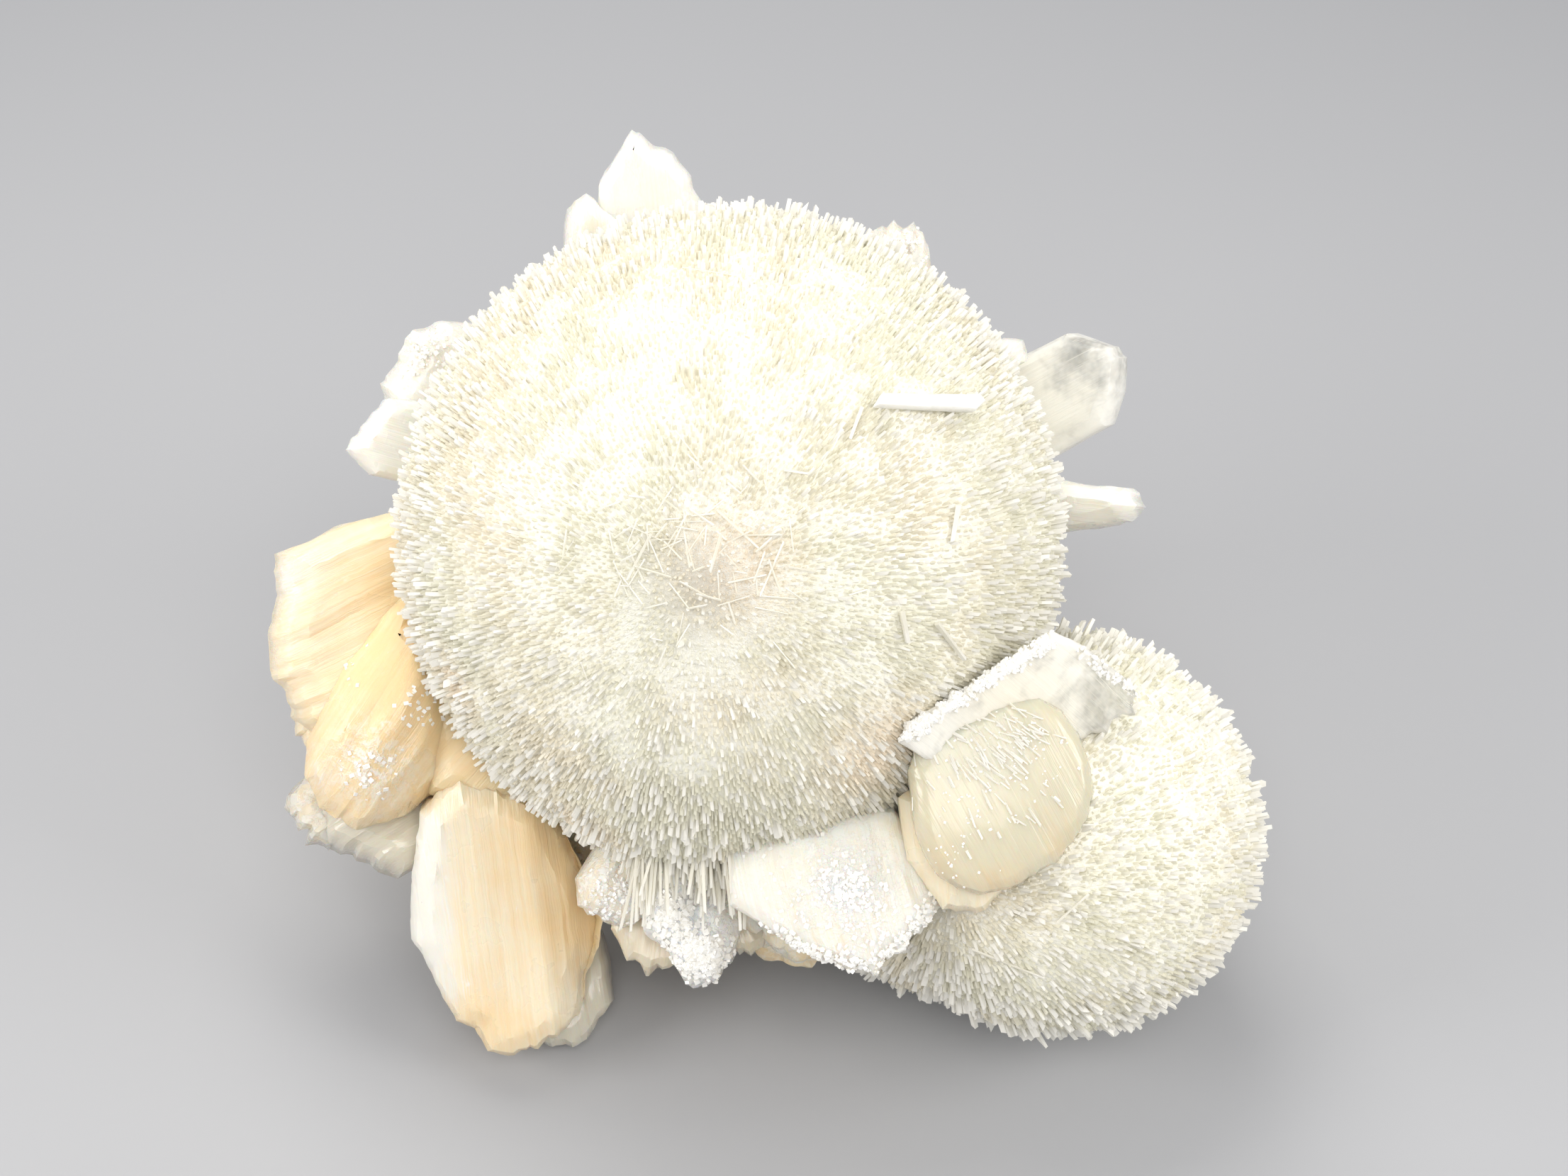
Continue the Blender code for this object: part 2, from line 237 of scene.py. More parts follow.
surfaces = {}
boxLow, boxHigh = (Vector(corner) / mm for corner in cadBox)


def cut(form, place, way, clear=False):
    whole = list(form.verts) + list(form.edges) + list(form.faces)
    bmesh.ops.bisect_plane(form, geom=whole, dist=1e-5, plane_co=place, plane_no=way, clear_inner=clear)


def finishForm(name, form, look, slot="stilbite", node="stilbite_clump", smooth=30):
    # Nothing reaches under the floor or out of the solid's box
    cut(form, (0, 0, 0), (0, 0, 1), clear=True)
    bmesh.ops.holes_fill(form, edges=[edge for edge in form.edges if edge.is_boundary])
    for vertex in form.verts:
        vertex.co = [min(max(place, low), high) for place, low, high in zip(vertex.co, boxLow, boxHigh)]
    bmesh.ops.recalc_face_normals(form, faces=form.faces)
    surfaces[name] = BVHTree.FromBMesh(form)
    bmesh.ops.scale(form, vec=(mm, mm, mm), verts=form.verts)
    mesh = bpy.data.meshes.new(name)
    form.to_mesh(mesh)
    form.free()
    mesh.shade_smooth()
    mesh.set_sharp_from_angle(angle=math.radians(smooth))
    print("made", name, len(mesh.polygons), "faces")
    return link(name, mesh, look, slot, node)


print("camera and studio")
makeCamera()
makeStudio()

# The sprays. The needles start at the origin and end on the round form of the lobes.
mainSpray = {
    "origin": (-2, -5, -28),
    "focus": (-2, -5, -31.5),  # where the fibres drawn on the body come together
    "lobes": [((0, 0, 0), 35), ((-4, -15, -8), 19), ((-5, -22, -10), 11)],
    "back": 12,           # the flat back lies on the clump
    "needles": 34000,     # as many of these as find room
    "width": (0.2, 0.36),
    "body": (0.6, 2.0),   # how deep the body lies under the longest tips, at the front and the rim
    "bright": 0.18,       # the share of needles that stand out, with a painted highlight on their tips
    "tufts": 1300,
    "tuftDrop": 0.8,      # how much lower a tuft may end, in mm
    "stray": 0.024,
    "seed": 11,
}
sideSpray = {
    "origin": (22, -33.5, -12),
    "focus": (22, -33.5, -14.5),
    "lobes": [((33.8, -30, 1), 22), ((22.5, -34, 6), 15.2)],
    "back": 60,
    "needles": 12500,
    "width": (0.24, 0.42),
    "body": (0.65, 2.2),
    "bright": 0.26,
    "tufts": 420,
    "tuftDrop": 1.2,
    "stray": 0.034,
    "seed": 12,
}
# What all needles share. In a pair of front and rim, the second is what the rim adds to the first.
needleHabit = {
    "rimStart": 0.8,            # the rim begins where a spray faces the viewer by less than this
    "rimWidth": 0.6,
    "tries": 1.75,              # places tried for each needle
    "jitter": 0.6,              # how far needles stand off an even spacing, as a share of it
    "brightShort": (0.7, 0.1),  # the most that a bright needle ends under the form, in body depths
    "plainShort": (0.55, 0.15),  # the least that another one does
    "shortest": 1.05,           # and the most
    "tuftLean": 0.7,            # a tuft's lean, as a share of the needles' own
    "steepest": 0.35,           # needles that lean more than this are no longer for it
    "length": (0.2, 4),         # above the body, in mm
    "root": 0.5,                # inside the body, in mm
    "looseShare": 0.03,
    "looseStray": 4,
    "brightWidth": (1.15, 0.55),
    "plainWidth": (1, 0.2),
    "lathShare": 0.06,          # laths are wide and flat
    "lathWidth": 1.6,
    "lathFlat": 0.4,
    "flat": (0.6, 1),
    "slant": 0.6,               # how slanting the ends are, as a share of the width
    "brightShade": (0.65, 1),
    "plainShade": (0, 0.4),
}
sprayGap = 0.6
floorGap = 0.3


def point(place):
    return np.array(seen(*place))


def unit(ways):
    return ways / np.linalg.norm(ways, axis=1)[:, None]


def depthOf(places):
    return (places - np.array(ballCentre)) @ np.array(backWay)


def inBalls(places, lobes, grow):
    inside = np.zeros(len(places), bool)
    for centre, radius in lobes:
        inside |= np.linalg.norm(places - point(centre), axis=1) < radius + grow
    return inside


def openPlaces(spray, places, lower=0.0):
    # Which places on a spray's form are in the open: not on its back, in its other lobe, in the
    # large spray or under the floor
    clear = depthOf(places) < spray["back"] - lower
    if spray is sideSpray:
        behind = depthOf(places) > mainSpray["back"] + sprayGap + lower
        clear &= ~inBalls(places, mainSpray["lobes"], sprayGap + lower) | behind
        clear &= places[:, 2] > floorGap + lower
    return clear


def bodyDepth(spray, ways):
    # The body lies close under the tips at the front of a spray, and deeper towards its rim
    rim = np.clip((needleHabit["rimStart"] + ways @ np.array(backWay)) / needleHabit["rimWidth"], 0, 1)
    low, high = spray["body"]
    return low + (high - low) * rim


def evenWays(count, draw):
    number = np.arange(count) + 0.5
    height = 1 - 2 * number / count
    turn = number * math.pi * (3 - math.sqrt(5))
    flat = np.sqrt(1 - height ** 2)
    ways = np.stack([flat * np.cos(turn), flat * np.sin(turn), height], 1)
    return unit(ways + draw.normal(0, needleHabit["jitter"] / math.sqrt(count), ways.shape))


def needleEnds(spray, draw):
    # Evenly spread over the lobes' outer surface, each with the way that surface faces
    total = sum(radius ** 2 for _, radius in spray["lobes"])
    found = []
    for centre, radius in spray["lobes"]:
        facings = evenWays(int(spray["needles"] * needleHabit["tries"] * radius ** 2 / total), draw)
        ends = point(centre) + facings * radius
        others = [lobe for lobe in spray["lobes"] if lobe[0] != centre]
        clear = ~inBalls(ends, others, 0) & openPlaces(spray, ends)
        found.append(np.hstack([ends[clear], facings[clear]]))
    found = np.concatenate(found)
    chosen = np.sort(draw.permutation(len(found))[:spray["needles"]])
    print("room for", len(found), "needles")
    return found[chosen, :3], found[chosen, 3:]


def formArrays(form):
    corners = np.array([vertex.co for vertex in form.verts])
    sides = [[vertex.index for vertex in face.verts] for face in form.faces]
    form.free()
    return corners, sides


def needleForm():
    form = bmesh.new()
    bmesh.ops.create_cube(form, size=1)
    bmesh.ops.translate(form, verts=form.verts, vec=(0, 0, 0.5))
    top = [vertex for vertex in form.verts if vertex.co.z > 0.5]
    bmesh.ops.scale(form, vec=(0.8, 0.85, 1), verts=top)
    return formArrays(form)


def grainForm():
    form = bmesh.new()
    bmesh.ops.create_cube(form, size=1)
    return formArrays(form)


def crossways(aims, draw):
    across = unit(np.cross(aims, draw.normal(size=aims.shape)))
    return across, np.cross(aims, across)


def repeatForm(name, form, roots, ways, sizes, slants=None, painted=None):
    # One small form set at every root: its x, y and z run along three ways
    corners, sides = form
    count = len(roots)
    places = [corners[None, :, axis] * sizes[:, None, axis] for axis in range(3)]
    if slants is not None:
        places[2] = places[2] + corners[None, :, 2] * corners[None, :, 0] * slants[:, None]
    points = roots[:, None]
    for way, place in zip(ways, places):
        points = points + way[:, None] * place[..., None]
    starts = np.arange(count) * len(corners)
    faces = [[corner + start for corner in side] for start in starts.tolist() for side in sides]
    mesh = bpy.data.meshes.new(name)
    mesh.from_pydata(np.clip(points.reshape(-1, 3), boxLow, boxHigh) * mm, [], faces)
    for label, values in (painted or {}).items():
        values = values if values.ndim > 1 else np.repeat(values, len(corners))
        layer = mesh.attributes.new(label, "FLOAT", "POINT")
        layer.data.foreach_set("value", values.astype(np.float32).ravel())
    mesh.update()
    print("made", name, count, "of them")
    return mesh


def needleMesh(name, tips, aims, lengths, widths, flats, slants, shades, draw):
    # "under" is how far below its tip a place on a needle lies, in mm
    under = (1 - needleShape[0][None, :, 2]) * lengths[:, None]
    return repeatForm(name, needleShape, tips - aims * lengths[:, None], (*crossways(aims, draw), aims),
                      np.stack([widths, flats, lengths], 1), slants, {"under": under, "shade": shades})


needleShape = needleForm()
grainShape = grainForm()


def fromFront(name, rim):
    front, more = needleHabit[name]
    return front + more * rim


def growNeedles(spray, draw):
    ends, facings = needleEnds(spray, draw)
    count = len(ends)
    ways = unit(ends - point(spray["origin"]))
    # Neighbours share a tuft, whose needles end at a like height and lean a little together
    tufts = evenWays(spray["tufts"], draw)
    bearings = unit(ends - point(spray["lobes"][0][0]))
    order = np.argmax(bearings @ tufts.T, axis=1)
    tuftLean = draw.normal(0, spray["stray"] * needleHabit["tuftLean"], (spray["tufts"], 3))
    depth = bodyDepth(spray, bearings)
    rim = (depth - spray["body"][0]) / (spray["body"][1] - spray["body"][0])
    bright = draw.random(count) < spray["bright"]
    # Towards the rim fewer needles reach all the way out
    brightShort = draw.random(count) * fromFront("brightShort", rim)
    plainShort = draw.uniform(fromFront("plainShort", rim), needleHabit["shortest"])
    short = depth * np.where(bright, brightShort, plainShort)
    short = short + draw.random(spray["tufts"])[order] ** 2 * spray["tuftDrop"] * rim
    # A needle's root is just inside the body, however much it leans
    leaning = np.clip((ways * facings).sum(1), needleHabit["steepest"], 1)
    lengths = np.clip(depth / leaning - short, *needleHabit["length"]) + needleHabit["root"]
    loose = draw.random(count) < needleHabit["looseShare"]
    stray = np.where(loose, needleHabit["looseStray"], 1)[:, None]
    aims = unit(ways + tuftLean[order] + draw.normal(0, spray["stray"], ways.shape) * stray)
    return ends - ways * short[:, None], aims, lengths, bright, rim


def makeSpray(name, spray, node, look, parts):
    draw = np.random.default_rng(spray["seed"])
    tips, aims, lengths, bright, rim = growNeedles(spray, draw)
    count = len(tips)
    stouter = np.where(bright, fromFront("brightWidth", rim), fromFront("plainWidth", rim))
    widths = draw.uniform(*spray["width"], count) * stouter
    laths = draw.random(count) < needleHabit["lathShare"]
    widths = np.where(laths, widths * needleHabit["lathWidth"], widths)
    flats = widths * np.where(laths, needleHabit["lathFlat"], draw.uniform(*needleHabit["flat"], count))
    slants = draw.normal(0, needleHabit["slant"], count) * widths
    shades = np.where(bright, draw.uniform(*needleHabit["brightShade"], count),
                      draw.uniform(*needleHabit["plainShade"], count))
    # The mesh is made in a few parts, each a sector as seen from the front
    offset = tips - point(spray["origin"])
    bearing = np.arctan2(offset @ np.array(upWay), offset @ np.array(rightWay))
    share = np.argsort(np.argsort(bearing)) * parts // count
    for number in range(parts):
        own = share == number
        mesh = needleMesh(f"{name}_{number + 1}", tips[own], aims[own], lengths[own], widths[own],
                          flats[own], slants[own], shades[own], draw)
        link(mesh.name, mesh, look, "scolecite", node)


bodyHabit = {
    "detail": 6, "reach": 60, "step": 0.2,
    "swell": 0.3,         # how uneven its surface is, in mm
    "swellScale": 9,
    "lower": 1.4,         # how far it keeps from the spray's back and from the floor, in mm
    "fibres": 48,         # how fine the drawn fibres are
}


def makeBody(name, spray, node, look, seed):
    # The body that the needles stand out of: each ray ends below the form's surface
    form = bmesh.new()
    bmesh.ops.create_icosphere(form, subdivisions=bodyHabit["detail"], radius=1)
    middle = point(spray["lobes"][0][0])
    grain = form.verts.layers.float_vector.new("grain")
    steps = np.arange(0, bodyHabit["reach"], bodyHabit["step"])
    for vertex in form.verts:
        way = vertex.co.copy()
        swell = noise.noise(way * bodyHabit["swellScale"] + Vector((seed, 0, 0))) * bodyHabit["swell"]
        places = middle + np.array(way) * steps[:, None]
        depth = float(bodyDepth(spray, np.array(way)))
        inside = inBalls(places, spray["lobes"], swell - depth)
        inside &= openPlaces(spray, places, bodyHabit["lower"])
        vertex.co = Vector(middle) + way * float(steps[np.argmin(inside)])
        vertex[grain] = (vertex.co - seen(*spray["focus"])).normalized() * bodyHabit["fibres"]
    finishForm(name, form, look, "scolecite", node, smooth=180)


# Ivory tones of the sprays. The tip colour is a painted highlight on the ends of the bright needles.
ivory = {
    "deep": (0.885, 0.87, 0.73), "warm": (0.93, 0.79, 0.62), "pale": (0.965, 0.945, 0.86),
    "tip": (0.99, 0.98, 0.935), "glow": (0.98, 0.96, 0.89, 1),
}
# Where warm stilbite shines through the sprays: place as seen and reach in mm
warmPlaces = [((15, -21, -24), 11), ((1, -3, -35), 10), ((-15, -30, -15), 9), ((-27, -15, -16), 7),
              ((24, -36, -9), 9)]


def tinted(look, fibres):
    # Ivory, faintly green or pink in places, and paler along the fibres
    spot = look.place()
    warmth = look.mottle(spot, 0.06, 2).ramp(0.4, 0.7, 0, 0.4)
    for place, reach in warmPlaces:
        away = look.node("ShaderNodeVectorMath", {"operation": "DISTANCE"}, {0: spot, 1: seen(*place)}, 1)
        warmth = warmth.most(away.ramp(0, reach, 0.9, 0))
    return look.blend(fibres, look.blend(warmth, ivory["deep"], ivory["warm"]), ivory["pale"])


def needleLook():
    look = Look("scolecite needles")
    shade = look.painted("shade")
    # Bright needles turn whiter over their last mm or so: a painted highlight where their ends catch the
    # light
    tip = shade.ramp(0.45, 0.7) * look.painted("under").ramp(0.6, 1.6, 1, 0)
    colour = look.blend(tip, tinted(look, shade), ivory["tip"])
    gloss = look.shader({"Base Color": colour, "Roughness": 0.2, "IOR": 1.52})
    glow = look.node("ShaderNodeBsdfTranslucent", None, {"Color": ivory["glow"]})
    return look.finish(look.node("ShaderNodeMixShader", None, {0: 0.36, 1: gloss, 2: glow}))


def bodyLook():
    look = Look("packed scolecite")
    grain = look.grain()
    fibres = look.mottle(grain, 1.0, 3, 0.6)
    broad = look.mottle(grain, 0.3, 2, 0.5)
    colour = tinted(look, (fibres * 0.7 + broad * 0.3).ramp(0.38, 0.64))
    normal = look.bump(fibres, 0.8, 0.3)
    return look.finish(look.shader({"Base Color": colour, "Roughness": 0.4, "Normal": normal}))


print("sprays")
needleFinish = needleLook()
bodyFinish = bodyLook()
makeSpray("large_spray_needles", mainSpray, "scolecite_main_spray", needleFinish, 3)
makeBody("large_spray_body", mainSpray, "scolecite_main_spray", bodyFinish, 1)
makeSpray("small_spray_needles", sideSpray, "scolecite_side_spray", needleFinish, 1)
makeBody("small_spray_body", sideSpray, "scolecite_side_spray", bodyFinish, 2)


# Plates and blades of stilbite
def plateForm(points, normal, thick, chamfer):
    form = bmesh.new()
    front = form.faces.new([form.verts.new(place) for place in points])
    grown = bmesh.ops.extrude_face_region(form, geom=[front])["geom"]
    ends = [item for item in grown if isinstance(item, bmesh.types.BMVert)]
    bmesh.ops.translate(form, verts=ends, vec=-normal * (thick - 2 * chamfer))
    bmesh.ops.recalc_face_normals(form, faces=form.faces)
    for width, depth in ((0.3, 0.62), (0.7, 0.38)):  # two slopes make a rounded shoulder
        caps = sorted(form.faces, key=lambda face: abs(face.normal.dot(normal)) * face.calc_area())[-2:]
        for face in caps:
            bmesh.ops.inset_region(form, faces=[face], thickness=chamfer * width, depth=chamfer * depth,
                                   use_even_offset=True)
    return form


def cutAcross(form, middle, way, low, high, spacing, draw):
    # Cut the form by planes across one way, at uneven steps
    place = low + draw.uniform(*spacing)
    while place < high:
        cut(form, middle + way * place, way)
        place += draw.uniform(*spacing)


def growthOf(form, middle, side, along, normal):
    spots = []
    for vertex in form.verts:
        offset = vertex.co - middle
        spots.append((offset.dot(side), offset.dot(along), offset.dot(normal)))
    return spots


def paintLayers(form):
    grain = form.verts.layers.float_vector.new("grain")
    return grain, {mask: form.verts.layers.float.new(mask) for mask in ("peach", "cloud", "frost")}


# What every crystal has unless its own entry says otherwise: strips is the spacing of the ribs and rib
# their height, rows the spacing across them, step a broad terrace, dome how far the middle bulges,
# warp a slow swell, ragged how uneven the ends are and chip the edges, all in mm. A fold is a crease
# along the growth: its place across, and how steeply the face beyond it falls back. A spot changes
# one of the painted masks, and has a place as seen, a radius and how much it adds. The masks are peach
# for the warm colour, cloud for milky white and frost for a sugary crust.
crystalHabit = {
    "strips": (0.3, 0.75), "rib": 0.07, "rows": (0.8, 1.6), "step": 0.22, "dome": 0.0, "warp": 0.35,
    "ragged": 0.5, "chip": 0.16, "fan": 0.0, "peach": 0.5, "cloud": 0.3, "frost": 0.0,
    "spots": [], "folds": [],
}
# How fast each kind of unevenness changes over a crystal, per mm
unevenness = {
    "rib": (2.3, 0.03), "terrace": (0.35, 0.06), "notch": 1.1, "warp": 0.11, "chip": 0.9, "fine": 2.6,
    "fineHeight": 0.03,      # mm
    "terraces": 5,           # how many levels the terraces have
    "shift": (7.3, 3.1, 1.7),
    "margins": (0.2, 0.3),   # how far the first cuts are from the sides and from the ends, in mm
    "weld": 0.02,
}


def weather(form, middle, side, along, normal, habit, seed):
    draw = random.Random(seed)
    spots = growthOf(form, middle, side, along, normal)
    low = [min(spot[axis] for spot in spots) for axis in range(3)]
    high = [max(spot[axis] for spot in spots) for axis in range(3)]
    edge, tip = unevenness["margins"]
    cutAcross(form, middle, side, low[0] + edge, high[0] - edge, habit["strips"], draw)
    cutAcross(form, middle, along, low[1] + tip, high[1] - tip, habit["rows"], draw)
    bmesh.ops.remove_doubles(form, verts=form.verts, dist=unevenness["weld"])
    spots = growthOf(form, middle, side, along, normal)
    shift = Vector([seed * step for step in unevenness["shift"]])
    grain, masks = paintLayers(form)
    span = max(high[1] - low[1], 1)
    half = max(high[0] - low[0], 1) / 2
    ribAcross, ribAlong = unevenness["rib"]
    terraceAcross, terraceAlong = unevenness["terrace"]
    levels = unevenness["terraces"]
    for vertex, (across, out, through) in zip(form.verts, spots):
        rib = noise.noise(Vector((across * ribAcross, out * ribAlong, 0)) + shift) * habit["rib"] * 2
        terrace = noise.noise(Vector((across * terraceAcross, out * terraceAlong, 3)) + shift)
        terrace = math.floor(terrace * levels) / levels * habit["step"] * 2
        face = 1 if through > 0 else -1
        share = (out - low[1]) / span
        away = ((across - (low[0] + high[0]) / 2) / half) ** 2 + (share * 2 - 1) ** 2
        bulge = habit["dome"] * max(0, 1 - away)
        for fold, steep in habit["folds"]:
            bulge -= max(0, (across - fold) * math.copysign(1, fold)) * steep
        end = min(1, max(0, abs(share - 0.5) * 2.6 - 0.6))  # only the ends are notched
        notch = noise.noise(Vector((across * unevenness["notch"], face * 0.2, 9)) + shift)
        notch = notch * habit["ragged"] * end * 2
        swell = noise.noise_vector(vertex.co * unevenness["warp"] + shift) * habit["warp"]
        chip = noise.noise_vector(vertex.co * unevenness["chip"] + shift) * habit["chip"]
        fine = noise.noise_vector(vertex.co * unevenness["fine"] + shift) * unevenness["fineHeight"]
        moved = normal * face * (rib + terrace + bulge) + swell + fine + chip
        vertex.co += moved - normal * chip.dot(normal)
        vertex.co += along * notch + side * across * habit["fan"] * share
        vertex[grain] = Vector((across, out, through)) + shift
        for mask, layer in masks.items():
            vertex[layer] = habit[mask]
        for mask, (spotAcross, spotUp), radius, change in habit["spots"]:
            offset = vertex.co - ballCentre
            away = math.hypot(offset.dot(rightWay) - spotAcross, offset.dot(upWay) - spotUp) / radius
            layer = masks[mask]
            vertex[layer] = min(1, max(0, vertex[layer] + change * math.exp(-away * away)))


def growthWay(turn, normal):
    # The way a crystal grew, from its angle as seen, laid in the crystal's own face
    bearing = math.radians(turn)
    way = rightWay * math.cos(bearing) + upWay * math.sin(bearing)
    return (way - normal * way.dot(normal)).normalized()


def seenCrystal(outline, depth, slope, thick, chamfer, turn, seed, **own):
    middle = Vector((sum(corner[0] for corner in outline), sum(corner[1] for corner in outline)))
    middle = middle / len(outline)
    normal = (rightWay * slope[0] + upWay * slope[1] - backWay).normalized()
    front = depth - (thick / 2 - chamfer)
    points = []
    for across, up in outline:
        back = front + slope[0] * (across - middle.x) + slope[1] * (up - middle.y)
        points.append(seen(across, up, back))
    form = plateForm(points, normal, thick, chamfer)
    along = growthWay(turn, normal)
    habit = {**crystalHabit, **own}
    weather(form, seen(middle.x, middle.y, depth), along.cross(normal), along, normal, habit, seed)
    return form


def stilbiteLook(name, base=(0.94, 0.845, 0.66), peachy=(0.91, 0.68, 0.38), white=(0.9, 0.875, 0.79),
                 clearness=0.0, scatter=0.4, rough=(0.24, 0.46), coat=0.0):
    look = Look(name)
    grain = look.grain()
    streaks = look.mottle(look.stretch(grain, (2.2, 0.07, 0.6)), 1.0, 2, 0.6)
    threads = look.mottle(look.stretch(grain, (7, 0.13, 1)), 1.0, 1, 0.5)
    clouds = look.mottle(grain, 0.2, 3, 0.6)
    bruises = look.mottle(look.stretch(grain, (0.5, 0.3, 0.5)), 1.0, 3, 0.7).ramp(0.66, 0.76)
    amount = (look.painted("peach") + (clouds - 0.5) * 0.8 + (streaks - 0.5) * 0.7).ramp(0.0, 1.0)
    colour = look.blend(amount, base, peachy)
    veil = (look.painted("cloud") + (clouds - 0.5) * 0.9 + (threads - 0.5) * 0.65).ramp(0.25, 0.85)
    colour = look.blend(veil, colour, white)
    colour = look.blend(bruises * 0.55, colour, (0.95, 0.93, 0.87))
    icing = look.painted("frost") * look.mottle(grain, 1.1, 3, 0.7).ramp(0.42, 0.6)
    colour = look.blend(icing, colour, (0.965, 0.955, 0.915))
    normal = look.bump(threads * 0.4 + streaks * 0.6 + icing, 0.6, 0.2)
    return look.finish(look.shader({
        "Base Color": colour, "Roughness": clouds.ramp(0.35, 0.65, *rough), "IOR": 1.5, "Normal": normal,
        "Subsurface Weight": scatter, "Subsurface Radius": (1.0, 0.62, 0.36),
        "Subsurface Scale": 2.2 * mm, "Transmission Weight": clearness, "Coat Weight": coat,
        "Coat Roughness": 0.12}))


def clearLook():
    look = Look("clear stilbite")
    grain = look.grain()
    threads = look.mottle(look.stretch(grain, (4, 0.1, 1)), 1.0, 3, 0.6)
    lines = look.mottle(look.stretch(grain, (5, 0.06, 0.5)), 1.0, 2, 0.5).ramp(0.6, 0.66)
    clouds = look.mottle(grain, 0.3, 3, 0.6)
    veils = (look.painted("cloud") + (clouds - 0.5) * 1.1).ramp(0.2, 0.9, 0.12, 1)
    normal = look.bump(threads, 0.5, 0.14)
    glass = look.shader({
        "Base Color": (0.96, 0.975, 0.97, 1), "Roughness": 0.1, "IOR": 1.5, "Normal": normal,
        "Transmission Weight": 1.0})
    milk = look.shader({
        "Base Color": look.blend(look.painted("peach"), (0.93, 0.91, 0.84), (0.95, 0.84, 0.64)),
        "Roughness": 0.28, "Normal": normal, "Subsurface Weight": 0.4,
        "Subsurface Radius": (1.0, 0.9, 0.8), "Subsurface Scale": 2 * mm})
    both = look.node("ShaderNodeMixShader", None, {0: veils.most(lines * 0.6), 1: glass, 2: milk})
    depth = look.node("ShaderNodeVolumeAbsorption", None, {"Color": (0.95, 0.97, 0.96, 1), "Density": 12})
    return look.finish(both, depth)


def frostLook():
    look = Look("white grains")
    shade = look.painted("shade")
    colour = look.blend(shade, (0.96, 0.94, 0.88), (0.99, 0.985, 0.96))
    return look.finish(look.shader({
        "Base Color": colour, "Roughness": shade.ramp(0, 1, 0.05, 0.25), "IOR": 1.5}))


finishes = {
    "peach": stilbiteLook("peach stilbite", clearness=0.06),
    "milky": stilbiteLook("milky stilbite", base=(0.91, 0.87, 0.75), peachy=(0.9, 0.74, 0.54), scatter=0.5,
                          white=(0.94, 0.925, 0.865), clearness=0.05, rough=(0.16, 0.36)),
    "waxy": stilbiteLook("waxy stilbite", base=(0.83, 0.78, 0.6), peachy=(0.88, 0.7, 0.45), scatter=0.6,
                         white=(0.86, 0.825, 0.7), clearness=0.25, rough=(0.08, 0.2), coat=0.4),
    "smoky": stilbiteLook("smoky stilbite", base=(0.89, 0.83, 0.69), peachy=(0.9, 0.76, 0.55), scatter=0.5,
                          white=(0.9, 0.88, 0.82), clearness=0.3, rough=(0.1, 0.24), coat=0.5),
    "clear": clearLook(),
}
frostFinish = frostLook()

